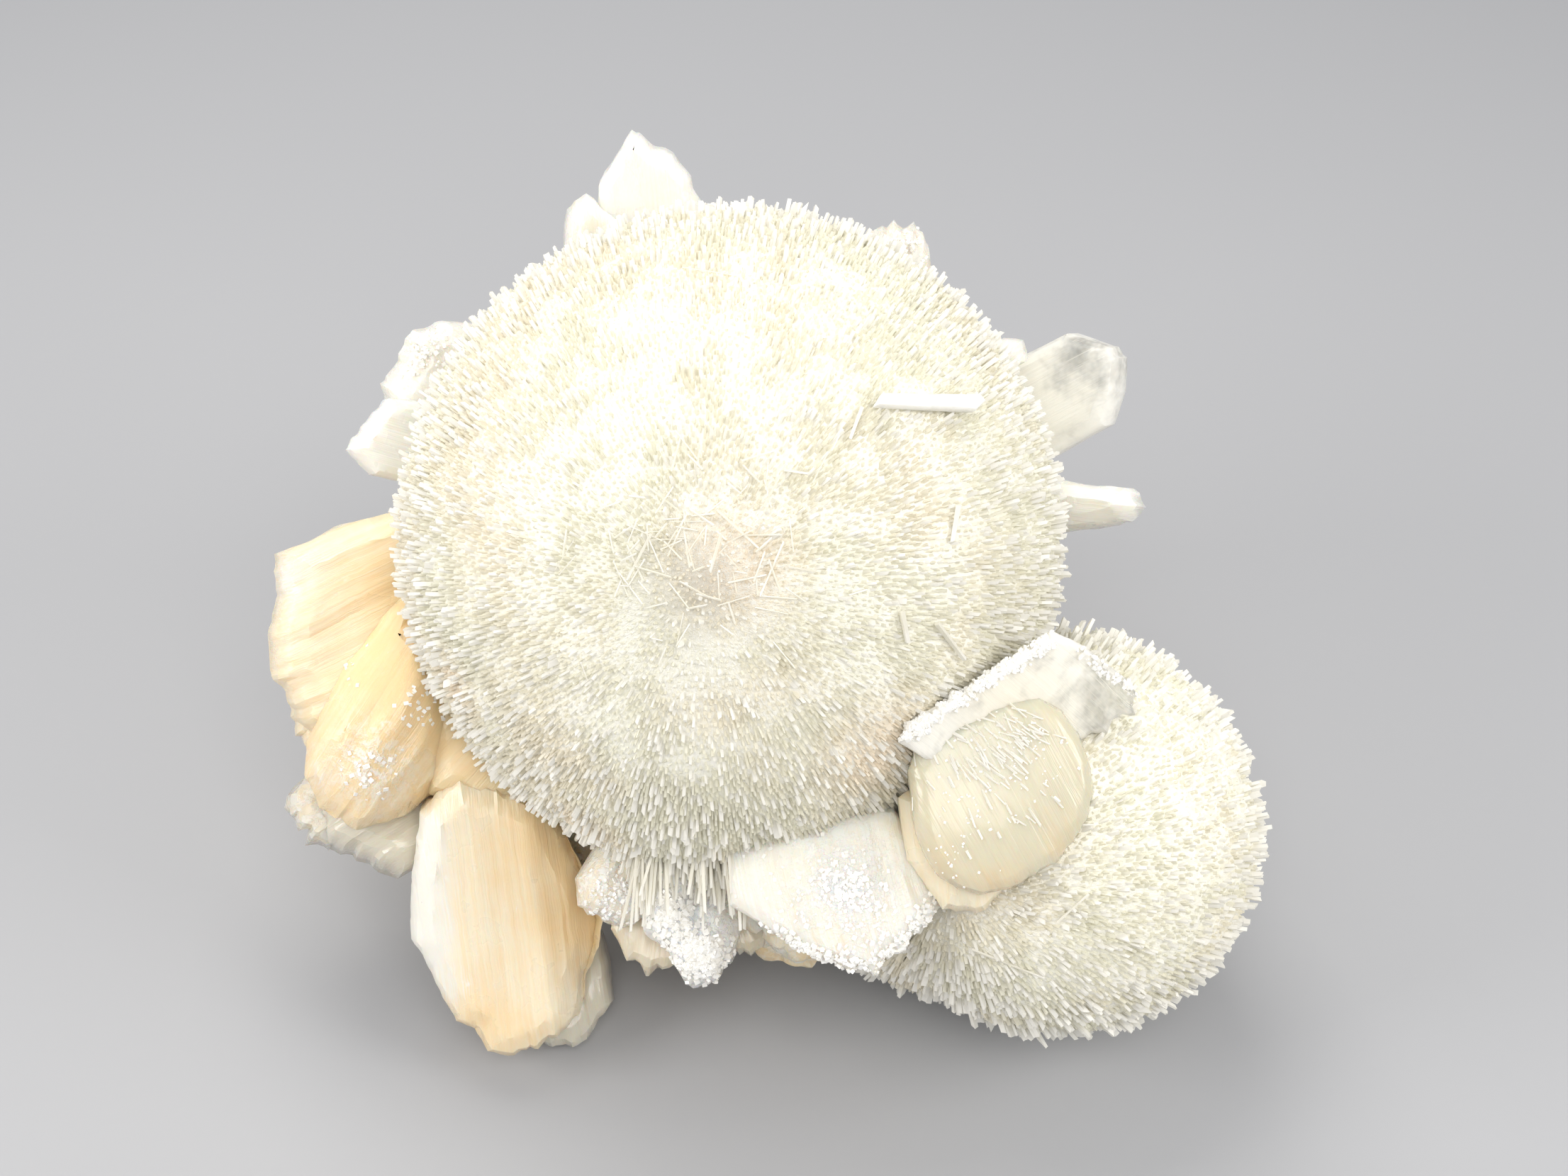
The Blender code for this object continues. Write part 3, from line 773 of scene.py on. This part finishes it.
# The crystals of the front. An outline is as seen, depth is how far back the middle lies, slope how fast
# the face falls back to the right and upwards, and turn the angle at which the crystal grew.
crystals = {
    "top_blade": dict(
        outline=[(-13, 6), (-14.7, 36.6), (-14.5, 38.4), (-13.1, 40.3), (-11.7, 42.1), (-10.8, 43.1),
                 (-10, 42.9), (-8.6, 41.8), (-7.6, 41.6), (-6.3, 40.8), (-5.5, 39.7), (-4.5, 38.7),
                 (-4.3, 37.6), (-3.6, 36.5), (-3.3, 33), (0, 6)],
        depth=13, slope=(0, -0.5), thick=4.5, chamfer=1.1, turn=94, look="milky", peach=0.02, cloud=0.75,
        folds=[(3.2, 0.5)], warp=0.2, ragged=0.3, chip=0.1),
    "top_blade_foot": dict(
        outline=[(-19, 12), (-17.8, 33), (-17.4, 34.6), (-16.1, 35.8), (-15.2, 36.3), (-12, 34),
                 (-9, 12)],
        depth=14, slope=(0.25, -0.5), thick=5, chamfer=1.2, turn=100, look="milky", peach=0.05, cloud=0.6,
        ragged=0.3, chip=0.1),
    "top_right_blade": dict(
        outline=[(6, 8), (14.2, 32.2), (15.6, 32.9), (17.4, 33.2), (19.8, 32.9), (21.2, 31.2),
                 (21.4, 29.1), (17, 8)],
        depth=15, slope=(0, -0.5), thick=5.5, chamfer=1.3, turn=82, look="milky", peach=0.35, cloud=0.35,
        frost=0.6, ragged=0.9),
    "clear_blade": dict(
        outline=[(12, 12), (27.6, 17.8), (30.5, 19.5), (35.4, 21.8), (39.4, 20), (40.2, 18.8),
                 (40.1, 15.3), (39.2, 11.9), (33.5, 8.8), (12, 0)],
        depth=10.5, slope=(-0.6, -0.15), thick=5.5, chamfer=1.3, turn=24, look="clear", peach=0,
        cloud=0.74, strips=(0.8, 2), rows=(2, 5), warp=0.1, ragged=0.2, rib=0.06, step=0.3, chip=0.06,
        spots=[("cloud", (29, 12), 8, 0.5), ("cloud", (37, 18), 4, -0.35)]),
    "right_prism": dict(
        outline=[(14, 8), (34.6, 6.4), (37.3, 5.9), (40.9, 5.4), (42.1, 3.5), (40.8, 2.1), (38.5, 1.4),
                 (36.1, 1), (14, -2)],
        depth=9, slope=(-0.62, 0), thick=6, chamfer=1.5, turn=-4, look="milky", peach=0.1, cloud=0.75),
    "left_shoulder": dict(
        outline=[(-34, 6), (-36, 14), (-36.4, 16.1), (-34.2, 19.5), (-33.5, 21.5), (-30.3, 23.3),
                 (-25.2, 23.2), (-14, 12), (-16, 3)],
        depth=13, slope=(0.5, -0.25), thick=7, chamfer=1.8, turn=146, look="milky", peach=0.05, cloud=0.6,
        frost=0.2, ragged=0.4, chip=0.1, warp=0.2, folds=[(5, 0.5)],
        spots=[("peach", (-33, 20), 3, 0.5)]),
    "left_wing": dict(
        outline=[(-39.7, 9.4), (-38.6, 11.4), (-36.2, 14.9), (-20, 14), (-18, 2), (-33, 6), (-37.5, 7)],
        depth=9, slope=(0.55, 0), thick=4.5, chamfer=1.1, turn=168, look="milky", peach=0, cloud=0.8,
        rib=0.06, chip=0.1, warp=0.15, ragged=0.2),
    "broad_sheaf": dict(
        outline=[(-18, 2), (-33.5, 3.8), (-35.5, 3), (-40, 1.8), (-43.3, -0.2), (-46.1, -1.4),
                 (-45.9, -5.7), (-46.4, -9), (-46.4, -14), (-43, -20), (-34, -24), (-18, -16)],
        depth=5.5, slope=(0.45, 0.05), thick=9, chamfer=2.4, turn=205, look="peach", peach=0.4,
        cloud=0.15, dome=1.4, rib=0.09, step=0.12, warp=0.25,
        spots=[("cloud", (-45, -4), 4, 0.5), ("peach", (-35, -6), 5, 0.4)]),
    "lower_sheet": dict(
        outline=[(-44.8, -8), (-46, -12), (-46.2, -17), (-45, -22), (-40, -25), (-35, -14), (-38, -6)],
        depth=8.5, slope=(0.3, 0.1), thick=8, chamfer=1.6, turn=222, look="peach", peach=0.4, cloud=0.2,
        ragged=0.8),
    "round_sheaf": dict(
        outline=[(-33.5, -5.5), (-36.5, -7.5), (-39.6, -12.2), (-42, -17), (-43.3, -20.9), (-43.3, -24.9),
                 (-41.8, -27.4), (-38.1, -29.4), (-33.5, -28.3), (-29, -24.9), (-27.5, -19),
                 (-29.5, -11)],
        depth=0, slope=(0.15, 0.1), thick=8, chamfer=3.4, turn=238, look="peach", peach=0.72, cloud=0.06,
        warp=0.9, dome=3.2, step=0.5,
        spots=[("frost", (-36, -23), 4, 0.7), ("cloud", (-41, -24), 3, 0.5),
               ("peach", (-30, -15), 5, 0.5)]),
    "grey_crystals": dict(
        outline=[(-42, -27), (-41.6, -30.6), (-38.4, -32.3), (-33.9, -34.5), (-24, -30), (-24, -18),
                 (-39, -20)],
        depth=5.5, slope=(0.3, 0.35), thick=8, chamfer=1.8, turn=214, look="smoky", peach=0.1, cloud=0.25,
        ragged=0.7, step=0.5),
    "rough_crystal": dict(
        outline=[(-45.9, -26.3), (-45.2, -29.3), (-41.5, -31.6), (-39, -29), (-40, -24), (-43.6, -24)],
        depth=5, slope=(0.4, 0.3), thick=6, chamfer=1.6, turn=232, look="smoky", peach=0.45, cloud=0.3,
        frost=0.6, ragged=0.9, warp=0.8, chip=0.5),
    "front_leg": dict(
        outline=[(-27.7, -24), (-31.6, -27.8), (-32, -31.2), (-32.6, -34.3), (-32.9, -37.1), (-33, -41.4),
                 (-31.8, -43), (-29.8, -47.4), (-28.3, -49.8), (-26.4, -50.8), (-25.2, -53.2),
                 (-23, -53.4), (-20.7, -53.1), (-17.9, -51.2), (-15.9, -49.8), (-15.3, -47.7),
                 (-15.1, -45.4), (-13.8, -42.4), (-13.4, -39.7), (-15, -35), (-18.5, -27)],
        depth=1.5, slope=(0.1, -0.12), thick=8, chamfer=2.4, turn=277, look="peach", peach=0.35,
        cloud=0.05, rib=0.13, step=0.15, warp=0.25, folds=[(-4.6, 0.55), (6.5, 0.35)],
        spots=[("cloud", (-31, -30), 4, 0.7), ("cloud", (-32, -36), 4.2, 0.8),
               ("cloud", (-31.5, -42), 4.2, 0.75), ("cloud", (-28.5, -47), 3, 0.4),
               ("peach", (-25, -50), 4, 0.4), ("peach", (-18, -30), 6, 0.5),
               ("peach", (-16, -40), 4, 0.5)]),
    "leg_foot": dict(
        outline=[(-24, -36), (-22, -50), (-20, -53), (-15.8, -53), (-12.8, -49), (-13.2, -45),
                 (-16, -34)],
        depth=8.5, slope=(0, 0.1), thick=8, chamfer=1.6, turn=280, look="smoky", peach=0.2, cloud=0.2),
    "frosted_tips": dict(
        outline=[(-9, -31), (-9.4, -36), (-8.4, -39.5), (-6, -41.2), (-4.6, -44), (-2.8, -44.7),
                 (0, -42.4), (1.4, -39), (1.6, -34), (-2, -30)],
        depth=-5.2, slope=(0, 0.25), thick=7, chamfer=2, turn=276, look="milky", peach=0.05, cloud=0.7,
        frost=0.9, ragged=1.0, dome=1.2, step=0.5),
    "left_lobe": dict(
        outline=[(-13.2, -31), (-15.2, -34), (-14.9, -37), (-12.6, -38.6), (-9.6, -39), (-7.6, -37),
                 (-8, -31)],
        depth=-4, slope=(0.25, 0.2), thick=7, chamfer=2.2, turn=250, look="milky", peach=0.5, cloud=0.3,
        frost=0.8, dome=0.8, warp=0.6),
    "left_tan_plate": dict(
        outline=[(-11.5, -36), (-12, -40), (-10.4, -43), (-8, -43.9), (-5.4, -43.8), (-3, -40),
                 (-4, -34)],
        depth=-1.4, slope=(0.1, 0.2), thick=3, chamfer=0.9, turn=262, look="smoky", peach=0.5, cloud=0.1,
        ragged=1.0),
    "right_tan_plate": dict(
        outline=[(-2, -33), (-1.5, -41), (0.8, -42.4), (3.4, -41.4), (5.6, -39.8), (6, -34)],
        depth=-3.4, slope=(-0.1, 0.2), thick=3, chamfer=0.9, turn=285, look="smoky", peach=0.5, cloud=0.1,
        ragged=1.0),
    "sugared_fan": dict(
        outline=[(-0.5, -30), (0.2, -35.9), (4.2, -38.2), (5.6, -39), (8.6, -40.6), (11.7, -41.7),
                 (14, -42), (16.4, -39.9), (18.8, -37.5), (20.3, -35.7), (19.9, -32.7), (19.4, -29.8),
                 (16, -26.5), (8, -26)],
        depth=-15, slope=(-0.12, 0.1), thick=4.5, chamfer=1.3, turn=285, look="milky", peach=0.2,
        cloud=0.5, frost=0.1, dome=1.2, ragged=0.8, folds=[(-6, 0.4)],
        spots=[("frost", (11, -33), 5, 0.7), ("peach", (11, -41), 4, 0.5)]),
    "fan_stem": dict(
        outline=[(2, -28), (3, -37), (9, -39), (15, -38.5), (18, -33), (16, -27)],
        depth=-7.5, slope=(0, 0.3), thick=12, chamfer=2, turn=270, look="peach", peach=0.8, cloud=0),
    "round_plate": dict(
        outline=[(17.1, -22.1), (17.9, -20), (19.4, -18.3), (21.6, -16.8), (24.1, -15.9), (26.8, -15.3),
                 (29.5, -15.4), (31.6, -16.6), (33.3, -18.8), (34.3, -21.5), (34.8, -24.3), (34.1, -26.9),
                 (32.7, -29.1), (30.9, -31), (28.7, -32.3), (26.4, -33.4), (24.1, -33.9), (21.9, -33.2),
                 (20.1, -32.1), (18.8, -30.2), (17.9, -28)],
        depth=-20.8, slope=(0.12, 0.05), thick=3.6, chamfer=1.2, turn=300, look="waxy", peach=0.05,
        cloud=0.2, dome=0.8, rib=0.02, step=0.04, ragged=0.2, chip=0.1, warp=0.2,
        spots=[("peach", (32.6, -29), 3, 0.5), ("peach", (20, -31), 3, 0.4),
               ("peach", (26, -33), 3, 0.5)]),
    "plate_seat": dict(
        outline=[(16.5, -25), (20, -22), (25, -23), (28.5, -29), (27.8, -33.5), (24.5, -35.8),
                 (20.5, -35.6), (17.2, -31)],
        depth=-17.4, slope=(0.05, 0.05), thick=6, chamfer=2.2, turn=280, look="peach", peach=0.3,
        cloud=0.25, dome=0.6, warp=0.4, ragged=0.4),
    "sugared_edge": dict(
        outline=[(16.5, -19.6), (17, -17.9), (23, -14), (30.8, -9.2), (33.5, -10.6), (35.9, -12.3),
                 (38.2, -13.8), (39.4, -15.2), (38.8, -17), (37.4, -17.6), (35.9, -18.8), (34, -19),
                 (30, -22), (22, -23)],
        depth=-19.6, slope=(0.35, -0.3), thick=1.8, chamfer=0.5, turn=-40, look="clear", peach=0.15,
        cloud=0.85, ragged=0.9, spots=[("cloud", (37, -15.5), 3.6, -0.5), ("peach", (26, -16), 5, 0.35)]),
    "inner_peach": dict(
        outline=[(-33, -15), (-26, -14), (-20, -19), (-19, -27), (-24, -30), (-31, -26)],
        depth=1.5, slope=(0.2, 0.1), thick=8, chamfer=2.6, turn=230, look="peach", peach=0.75, cloud=0,
        dome=0.8),
    "glassy_lath": dict(
        outline=[(13.8, 11.2), (14.4, 12.4), (23.6, 12.8), (24.2, 12.2), (23.2, 11.3)],
        depth=-26.9, slope=(0.7, 0.45), thick=1.1, chamfer=0.25, turn=2, look="clear", peach=0,
        cloud=0.85, ragged=0.1, chip=0.03, warp=0.03, rib=0.02, step=0.02),
    "shoulder_crystal": dict(
        outline=[(-23.4, 20), (-21.4, 19.4), (-18.2, 22.6), (-18.4, 24.2), (-20.2, 24)],
        depth=-8, slope=(0.4, -0.5), thick=2.4, chamfer=0.6, turn=48, look="clear", peach=0, cloud=0.2,
        ragged=0.1),
    "rounded_crystal": dict(
        outline=[(26.6, 18), (28.4, 17), (30.6, 18.4), (30, 20.4), (27.8, 20.6)],
        depth=4, slope=(-0.3, -0.3), thick=4, chamfer=1, turn=40, look="milky", peach=0, cloud=0.6,
        ragged=0.1),
}

print("front crystals")
for number, (name, spec) in enumerate(crystals.items()):
    spec = dict(spec)
    finish = finishes[spec.pop("look")]
    finishForm(name, seenCrystal(seed=number + 1, **spec), finish)


# Single needles that stand off the sprays, given by their two ends as seen
singleNeedles = {
    "width": (0.16, 0.26),
    "wide": (0.38, 0.5),
    "flat": 0.8,
    "seed": 21,
    "wide_needles": [
        ((12.5, 11.1), (11.4, 8.2)), ((21.4, 2.4), (20.8, -0.9)), ((19.4, -8.3), (22.2, -11.7)),
        ((16.1, -7.2), (16.7, -10)),
    ],
    "loose_needles": [
        ((-0.4, 1.8), (3.3, -1.6)), ((-2.8, 1.8), (-0.7, 0.4)), ((0, -0.3), (-1, -3.7)),
        ((-3.9, 24.6), (1.5, 23.7)), ((5.5, 5.3), (7.6, 5)), ((-6.2, -0.3), (-8.4, -4.4)),
        ((-11.2, 1.8), (-9.1, 2.5)), ((5.5, -1), (3.4, -5.8)), ((9.7, 14.6), (9, 12.4)),
        ((-20.1, -1.5), (-18.5, -1.9)),
    ],
    "loose_side_needles": [
        ((23.6, -39.9, -15.8), (30.4, -42.5, -16.7)), ((31.3, -36.7, -19.8), (34.2, -33.9, -20.6)),
        ((32.3, -27.4, -20.8), (34.6, -27.4, -20.8)),
    ],
    # fine ones that cross over the middle of the large spray
    "crossing": {
        "count": 90, "middle": (-1.5, -2.5), "spread": 6, "half": (0.5, 1.8), "width": (0.1, 0.18),
        "shade": (0.5, 1),
    },
    # those that hang at its lower edge start across, up and back between these values
    "hanging": {
        "count": 260, "roots": ((-9, 3), (-30, -25), (-15, -11)), "drops": (2.5, 9), "width": (0.22, 0.36),
        "middle": -3, "splay": 0.02,  # they splay out from this place across
        "spread": 0.1, "deep": 0.6,   # how much they lean, and the share of it that goes into the depth
    },
}


def onBall(place):
    # A place given without its depth lies on the front of the large spray
    if len(place) == 3:
        return seen(*place)
    radius = mainSpray["lobes"][0][1]
    return seen(*place, -math.sqrt(radius ** 2 - place[0] ** 2 - place[1] ** 2))


def needlesBetween(name, pairs, node, draw, width, shade=(0.7, 1)):
    roots = np.array([first for first, _ in pairs])
    tips = np.array([second for _, second in pairs])
    lengths = np.linalg.norm(tips - roots, axis=1)
    aims = (tips - roots) / lengths[:, None]
    widths = draw.uniform(*width, len(pairs))
    flats = widths * singleNeedles["flat"]
    slants = draw.normal(0, needleHabit["slant"], len(pairs)) * widths
    shades = draw.uniform(*shade, len(pairs))
    mesh = needleMesh(name, tips, aims, lengths, widths, flats, slants, shades, draw)
    link(name, mesh, needleFinish, "scolecite", node)


def makeSingleNeedles():
    draw = np.random.default_rng(singleNeedles["seed"])
    for name, node, width in (("loose_needles", "scolecite_main_spray", "width"),
                              ("wide_needles", "scolecite_main_spray", "wide"),
                              ("loose_side_needles", "scolecite_side_spray", "width")):
        pairs = [(onBall(first), onBall(second)) for first, second in singleNeedles[name]]
        needlesBetween(name, pairs, node, draw, singleNeedles[width])

    crossing = singleNeedles["crossing"]
    pairs = []
    for _ in range(crossing["count"]):
        spot = np.array(crossing["middle"]) + draw.normal(0, crossing["spread"], 2)
        turn = draw.uniform(0, math.pi)
        reach = np.array([math.cos(turn), math.sin(turn)]) * draw.uniform(*crossing["half"])
        pairs.append((onBall(spot - reach), onBall(spot + reach)))
    needlesBetween("crossing_needles", pairs, "scolecite_main_spray", draw, crossing["width"],
                   crossing["shade"])

    hanging = singleNeedles["hanging"]
    pairs = []
    for _ in range(hanging["count"]):
        across, up, back = [draw.uniform(*span) for span in hanging["roots"]]
        drop = draw.uniform(*hanging["drops"])
        lean = draw.normal(0, hanging["spread"], 2)
        aside = (across - hanging["middle"]) * hanging["splay"] * drop
        tip = seen(across + aside + lean[0] * drop, up - drop, back + lean[1] * drop * hanging["deep"])
        pairs.append((seen(across, up, back), tip))
    needlesBetween("hanging_needles", pairs, "scolecite_main_spray", draw, hanging["width"])


# Grains and flakes on a crystal's face, in discs given by middle, radius and count, or along paths
# given by corners, width and count
sprinkles = {
    "edge_sugar": dict(
        over="sugared_edge", size=(0.2, 0.48), flat=0.9, tilt=0.6,
        paths=[([(16.7, -18.6), (23, -14.5), (30.4, -9.9)], 0.35, 700),
               ([(33, -10.9), (38.6, -15)], 0.3, 60)]),
    "tip_sugar": dict(
        over="frosted_tips", size=(0.25, 0.65), flat=0.5, tilt=0.5,
        discs=[((-2.6, -41.6), 2.6, 330), ((-6.1, -37.2), 2.6, 220), ((-4, -39), 3.6, 120)]),
    "lobe_sugar": dict(
        over="left_lobe", size=(0.2, 0.45), flat=0.5, tilt=0.5, discs=[((-11.6, -36), 3.2, 100)]),
    "fan_flakes": dict(
        over="sugared_fan", size=(0.15, 0.5), flat=0.2, tilt=0.16,
        discs=[((11.4, -33.4), 3.2, 210), ((14, -37), 4, 90), ((6, -35), 4, 40)]),
    "fan_rim": dict(
        over="sugared_fan", size=(0.2, 0.55), flat=0.7, tilt=0.5,
        paths=[([(4.4, -37.9), (8.6, -40.2), (13.9, -41.5), (18.4, -37.4), (19.9, -34)], 0.5, 260)]),
    "sheaf_flakes": dict(
        over="round_sheaf", size=(0.2, 0.55), flat=0.25, tilt=0.3,
        discs=[((-36, -23.4), 3.4, 36), ((-30.4, -17), 2.6, 40), ((-38.5, -14), 3, 10)]),
    "shoulder_sugar": dict(
        over="left_shoulder", size=(0.2, 0.5), flat=0.6, tilt=0.5, discs=[((-33, 20), 2.6, 80)]),
    "top_sugar": dict(
        over="top_right_blade", size=(0.2, 0.55), flat=0.6, tilt=0.5, discs=[((18, 31), 2.6, 100)]),
    "plate_spots": dict(
        over="round_plate", size=(0.1, 0.28), flat=0.5, tilt=0.3,
        discs=[((24, -24), 7, 60), ((29, -20), 4, 30), ((21, -30), 3, 30)]),
}
# What all grains share
grainHabit = {
    "seed": 40,
    "from": -70,        # how far back they start to drop from, which is well in front
    "lowest": 0.8,      # none lies lower than this, in mm
    "narrow": (0.6, 1),
    "lift": 0.25,       # how high the middle lies, as a share of the thickness
}


def dropPlaces(spec, draw):
    for middle, radius, count in spec.get("discs", []):
        spots = draw.normal(0, radius / 2, (count, 2))
        yield from (spots + middle).tolist()
    for corners, width, count in spec.get("paths", []):
        corners = np.array(corners)
        reach = np.concatenate([[0], np.cumsum(np.linalg.norm(np.diff(corners, axis=0), axis=1))])
        along = draw.uniform(0, reach[-1], count)
        spots = np.stack([np.interp(along, reach, corners[:, axis]) for axis in (0, 1)], 1)
        yield from (spots + draw.normal(0, width, spots.shape)).tolist()


def landed(over, places):
    # Where things dropped along the view land on a piece, with the facing there
    found = []
    for across, up in places:
        spot, facing, _, _ = surfaces[over].ray_cast(seen(across, up, grainHabit["from"]), backWay)
        if spot is not None and spot.z > grainHabit["lowest"]:
            found.append((spot, facing))
    return np.array([spot for spot, _ in found]), np.array([facing for _, facing in found])


def makeSprinkles():
    for number, (name, spec) in enumerate(sprinkles.items()):
        draw = np.random.default_rng(grainHabit["seed"] + number)
        spots, facings = landed(spec["over"], dropPlaces(spec, draw))
        count = len(spots)
        tilted = unit(facings + draw.normal(0, spec["tilt"], facings.shape))
        size = draw.uniform(*spec["size"], count)
        sizes = np.stack([size, size * draw.uniform(*grainHabit["narrow"], count), size * spec["flat"]], 1)
        middles = spots + facings * sizes[:, 2:] * grainHabit["lift"]
        mesh = repeatForm(name, grainShape, middles, (*crossways(tilted, draw), tilted), sizes, None,
                          {"shade": draw.random(count)})
        link(name, mesh, frostFinish, "stilbite", "stilbite_clump")


# Short needles lying in the round plate's face
plateNeedles = {
    "discs": [((25, -21), 8, 90), ((27, -19), 4, 40)],
    "awayFrom": (12, -8, -22),  # they point roughly away from this place in the large spray
    "stray": 4,
    "half": (0.2, 1.1),         # half their length
    "sunk": 0.05,               # how deep the root lies in the face
    "rise": 2.5,                # how much higher the tip is, in the same steps
    "width": (0.12, 0.26),
    "shade": (0.8, 1),
    "seed": 71,
}


def makePlateNeedles():
    draw = np.random.default_rng(plateNeedles["seed"])
    spots, facings = landed("round_plate", dropPlaces(plateNeedles, draw))
    along = spots - point(plateNeedles["awayFrom"]) + draw.normal(0, plateNeedles["stray"], spots.shape)
    along = unit(along - facings * (along * facings).sum(1)[:, None])
    half = draw.uniform(*plateNeedles["half"], len(spots))[:, None]
    sunk = facings * plateNeedles["sunk"]
    pairs = list(zip(spots - along * half - sunk, spots + along * half + sunk * plateNeedles["rise"]))
    needlesBetween("plate_needles", pairs, "stilbite_clump", draw, plateNeedles["width"],
                   plateNeedles["shade"])


print("single needles and grains")
makeSingleNeedles()
makeSprinkles()
makePlateNeedles()


# Blades on the hidden back, spread on a golden-angle spiral out to a rounded form
backBlades = {
    "count": 30, "root": (-1, -5, 16), "formCentre": (-1, -4, 20), "formSize": (37, 36, 27),
    "reach": (0.88, 1.04), "width": (12, 20), "thick": (4, 7), "chamfer": 0.22, "spread": 1.1,
    "goldenAngle": 137.5, "step": 0.25, "shoulder": (0.78, 0.88), "lean": (-0.18, 0.18),
    "peach": (0.1, 0.7), "cloud": (0, 0.5), "strips": (0.7, 1.6), "rows": (2, 3.5),
    "seed": 5, "firstSeed": 60,
}


def bladeLength(root, along):
    centre = seen(*backBlades["formCentre"])
    sizes = backBlades["formSize"]
    step = backBlades["step"]
    reach = step
    while True:
        offset = root + along * (reach + step) - centre
        parts = (offset.dot(rightWay), offset.dot(upWay), offset.dot(backWay))
        if sum((part / size) ** 2 for part, size in zip(parts, sizes)) >= 1:
            return reach
        reach += step


def makeBackBlades():
    draw = random.Random(backBlades["seed"])
    root = seen(*backBlades["root"])
    for number in range(backBlades["count"]):
        opening = backBlades["spread"] * math.sqrt((number + 0.5) / backBlades["count"]) * math.pi / 2
        turn = number * math.radians(backBlades["goldenAngle"])
        outward = rightWay * math.cos(turn) + upWay * math.sin(turn)
        along = outward * math.sin(opening) + backWay * math.cos(opening)
        facing = along.cross(rightWay * math.cos(number) + upWay * math.sin(number))
        length = bladeLength(root, along) * draw.uniform(*backBlades["reach"])
        width = draw.uniform(*backBlades["width"])
        thick = draw.uniform(*backBlades["thick"])
        side = along.cross(facing).normalized()
        normal = side.cross(along).normalized()
        shoulder = draw.uniform(*backBlades["shoulder"])
        lean = draw.uniform(*backBlades["lean"])
        # the outline, as shares of the width and the length
        shape = [(-0.32, 0), (-0.5, 0.6), (-0.48, shoulder), (lean - 0.2, 0.97), (lean + 0.15, 1),
                 (0.5, shoulder - 0.06), (0.47, 0.55), (0.32, 0)]
        points = []
        for across, out in shape:
            points.append(root + side * across * width + along * out * length + normal * thick / 2)
        form = plateForm(points, normal, thick, thick * backBlades["chamfer"])
        habit = {**crystalHabit, "strips": backBlades["strips"], "rows": backBlades["rows"],
                 "peach": draw.uniform(*backBlades["peach"]), "cloud": draw.uniform(*backBlades["cloud"])}
        seed = backBlades["firstSeed"] + number
        weather(form, root + along * length / 2, side, along, normal, habit, seed)
        finishForm(f"back_blade_{number + 1}", form, finishes["peach" if number % 3 else "milky"])


# The grown-together core under the blades: rounded masses, each given by its middle as seen, its size
# across, up and back, and how finely it is divided
druse = {
    "heart": ((-1, -4, 18), (33, 32, 14), 6),
    "lump_1": ((-24, -25, 16), (12, 12, 12), 5),
    "lump_2": ((-2, -27, 25), (14, 14, 14), 5),
    "lump_3": ((-5, -35, 6), (8, 8, 8), 5),
    "lump_4": ((7, -35, 0), (9, 9, 9), 5),
}
# The small crystals that crust them. A mask has a usual value, and how much each crystal's own differs.
crust = {
    "cell": 2.6,
    "own": 5.3,
    "tall": 1.1,
    "steep": 1.5,
    "swell": (0.12, 1.2),
    "masks": {"peach": (0.45, 0.7), "cloud": (0.3, -0.8), "frost": (0.3, 0)},
    "smooth": 22,
}


def makeDruse():
    swell, height = crust["swell"]
    for name, (middle, sizes, detail) in druse.items():
        form = bmesh.new()
        bmesh.ops.create_icosphere(form, subdivisions=detail, radius=1)
        centre = seen(*middle)
        grain, masks = paintLayers(form)
        for vertex in form.verts:
            ball = vertex.co.copy()
            spot = rightWay * ball.x * sizes[0] + upWay * ball.y * sizes[1] + backWay * ball.z * sizes[2]
            outward = spot.normalized()
            # every cell is one small crystal with a point of its own
            place = spot + centre
            distances, points = noise.voronoi(place / crust["cell"], distance_metric="DISTANCE_SQUARED")
            own = noise.noise(points[0] * crust["own"])
            rise = (0.5 + own) * crust["tall"] - math.sqrt(distances[0]) * crust["steep"]
            rise += noise.noise(place * swell) * height
            vertex.co = centre + spot + outward * rise
            vertex[grain] = vertex.co
            for mask, (usual, change) in crust["masks"].items():
                vertex[masks[mask]] = min(1, max(0, usual + own * change))
        finishForm(f"druse_{name}", form, finishes["peach"], smooth=crust["smooth"])


print("back blades and druse")
makeBackBlades()
makeDruse()
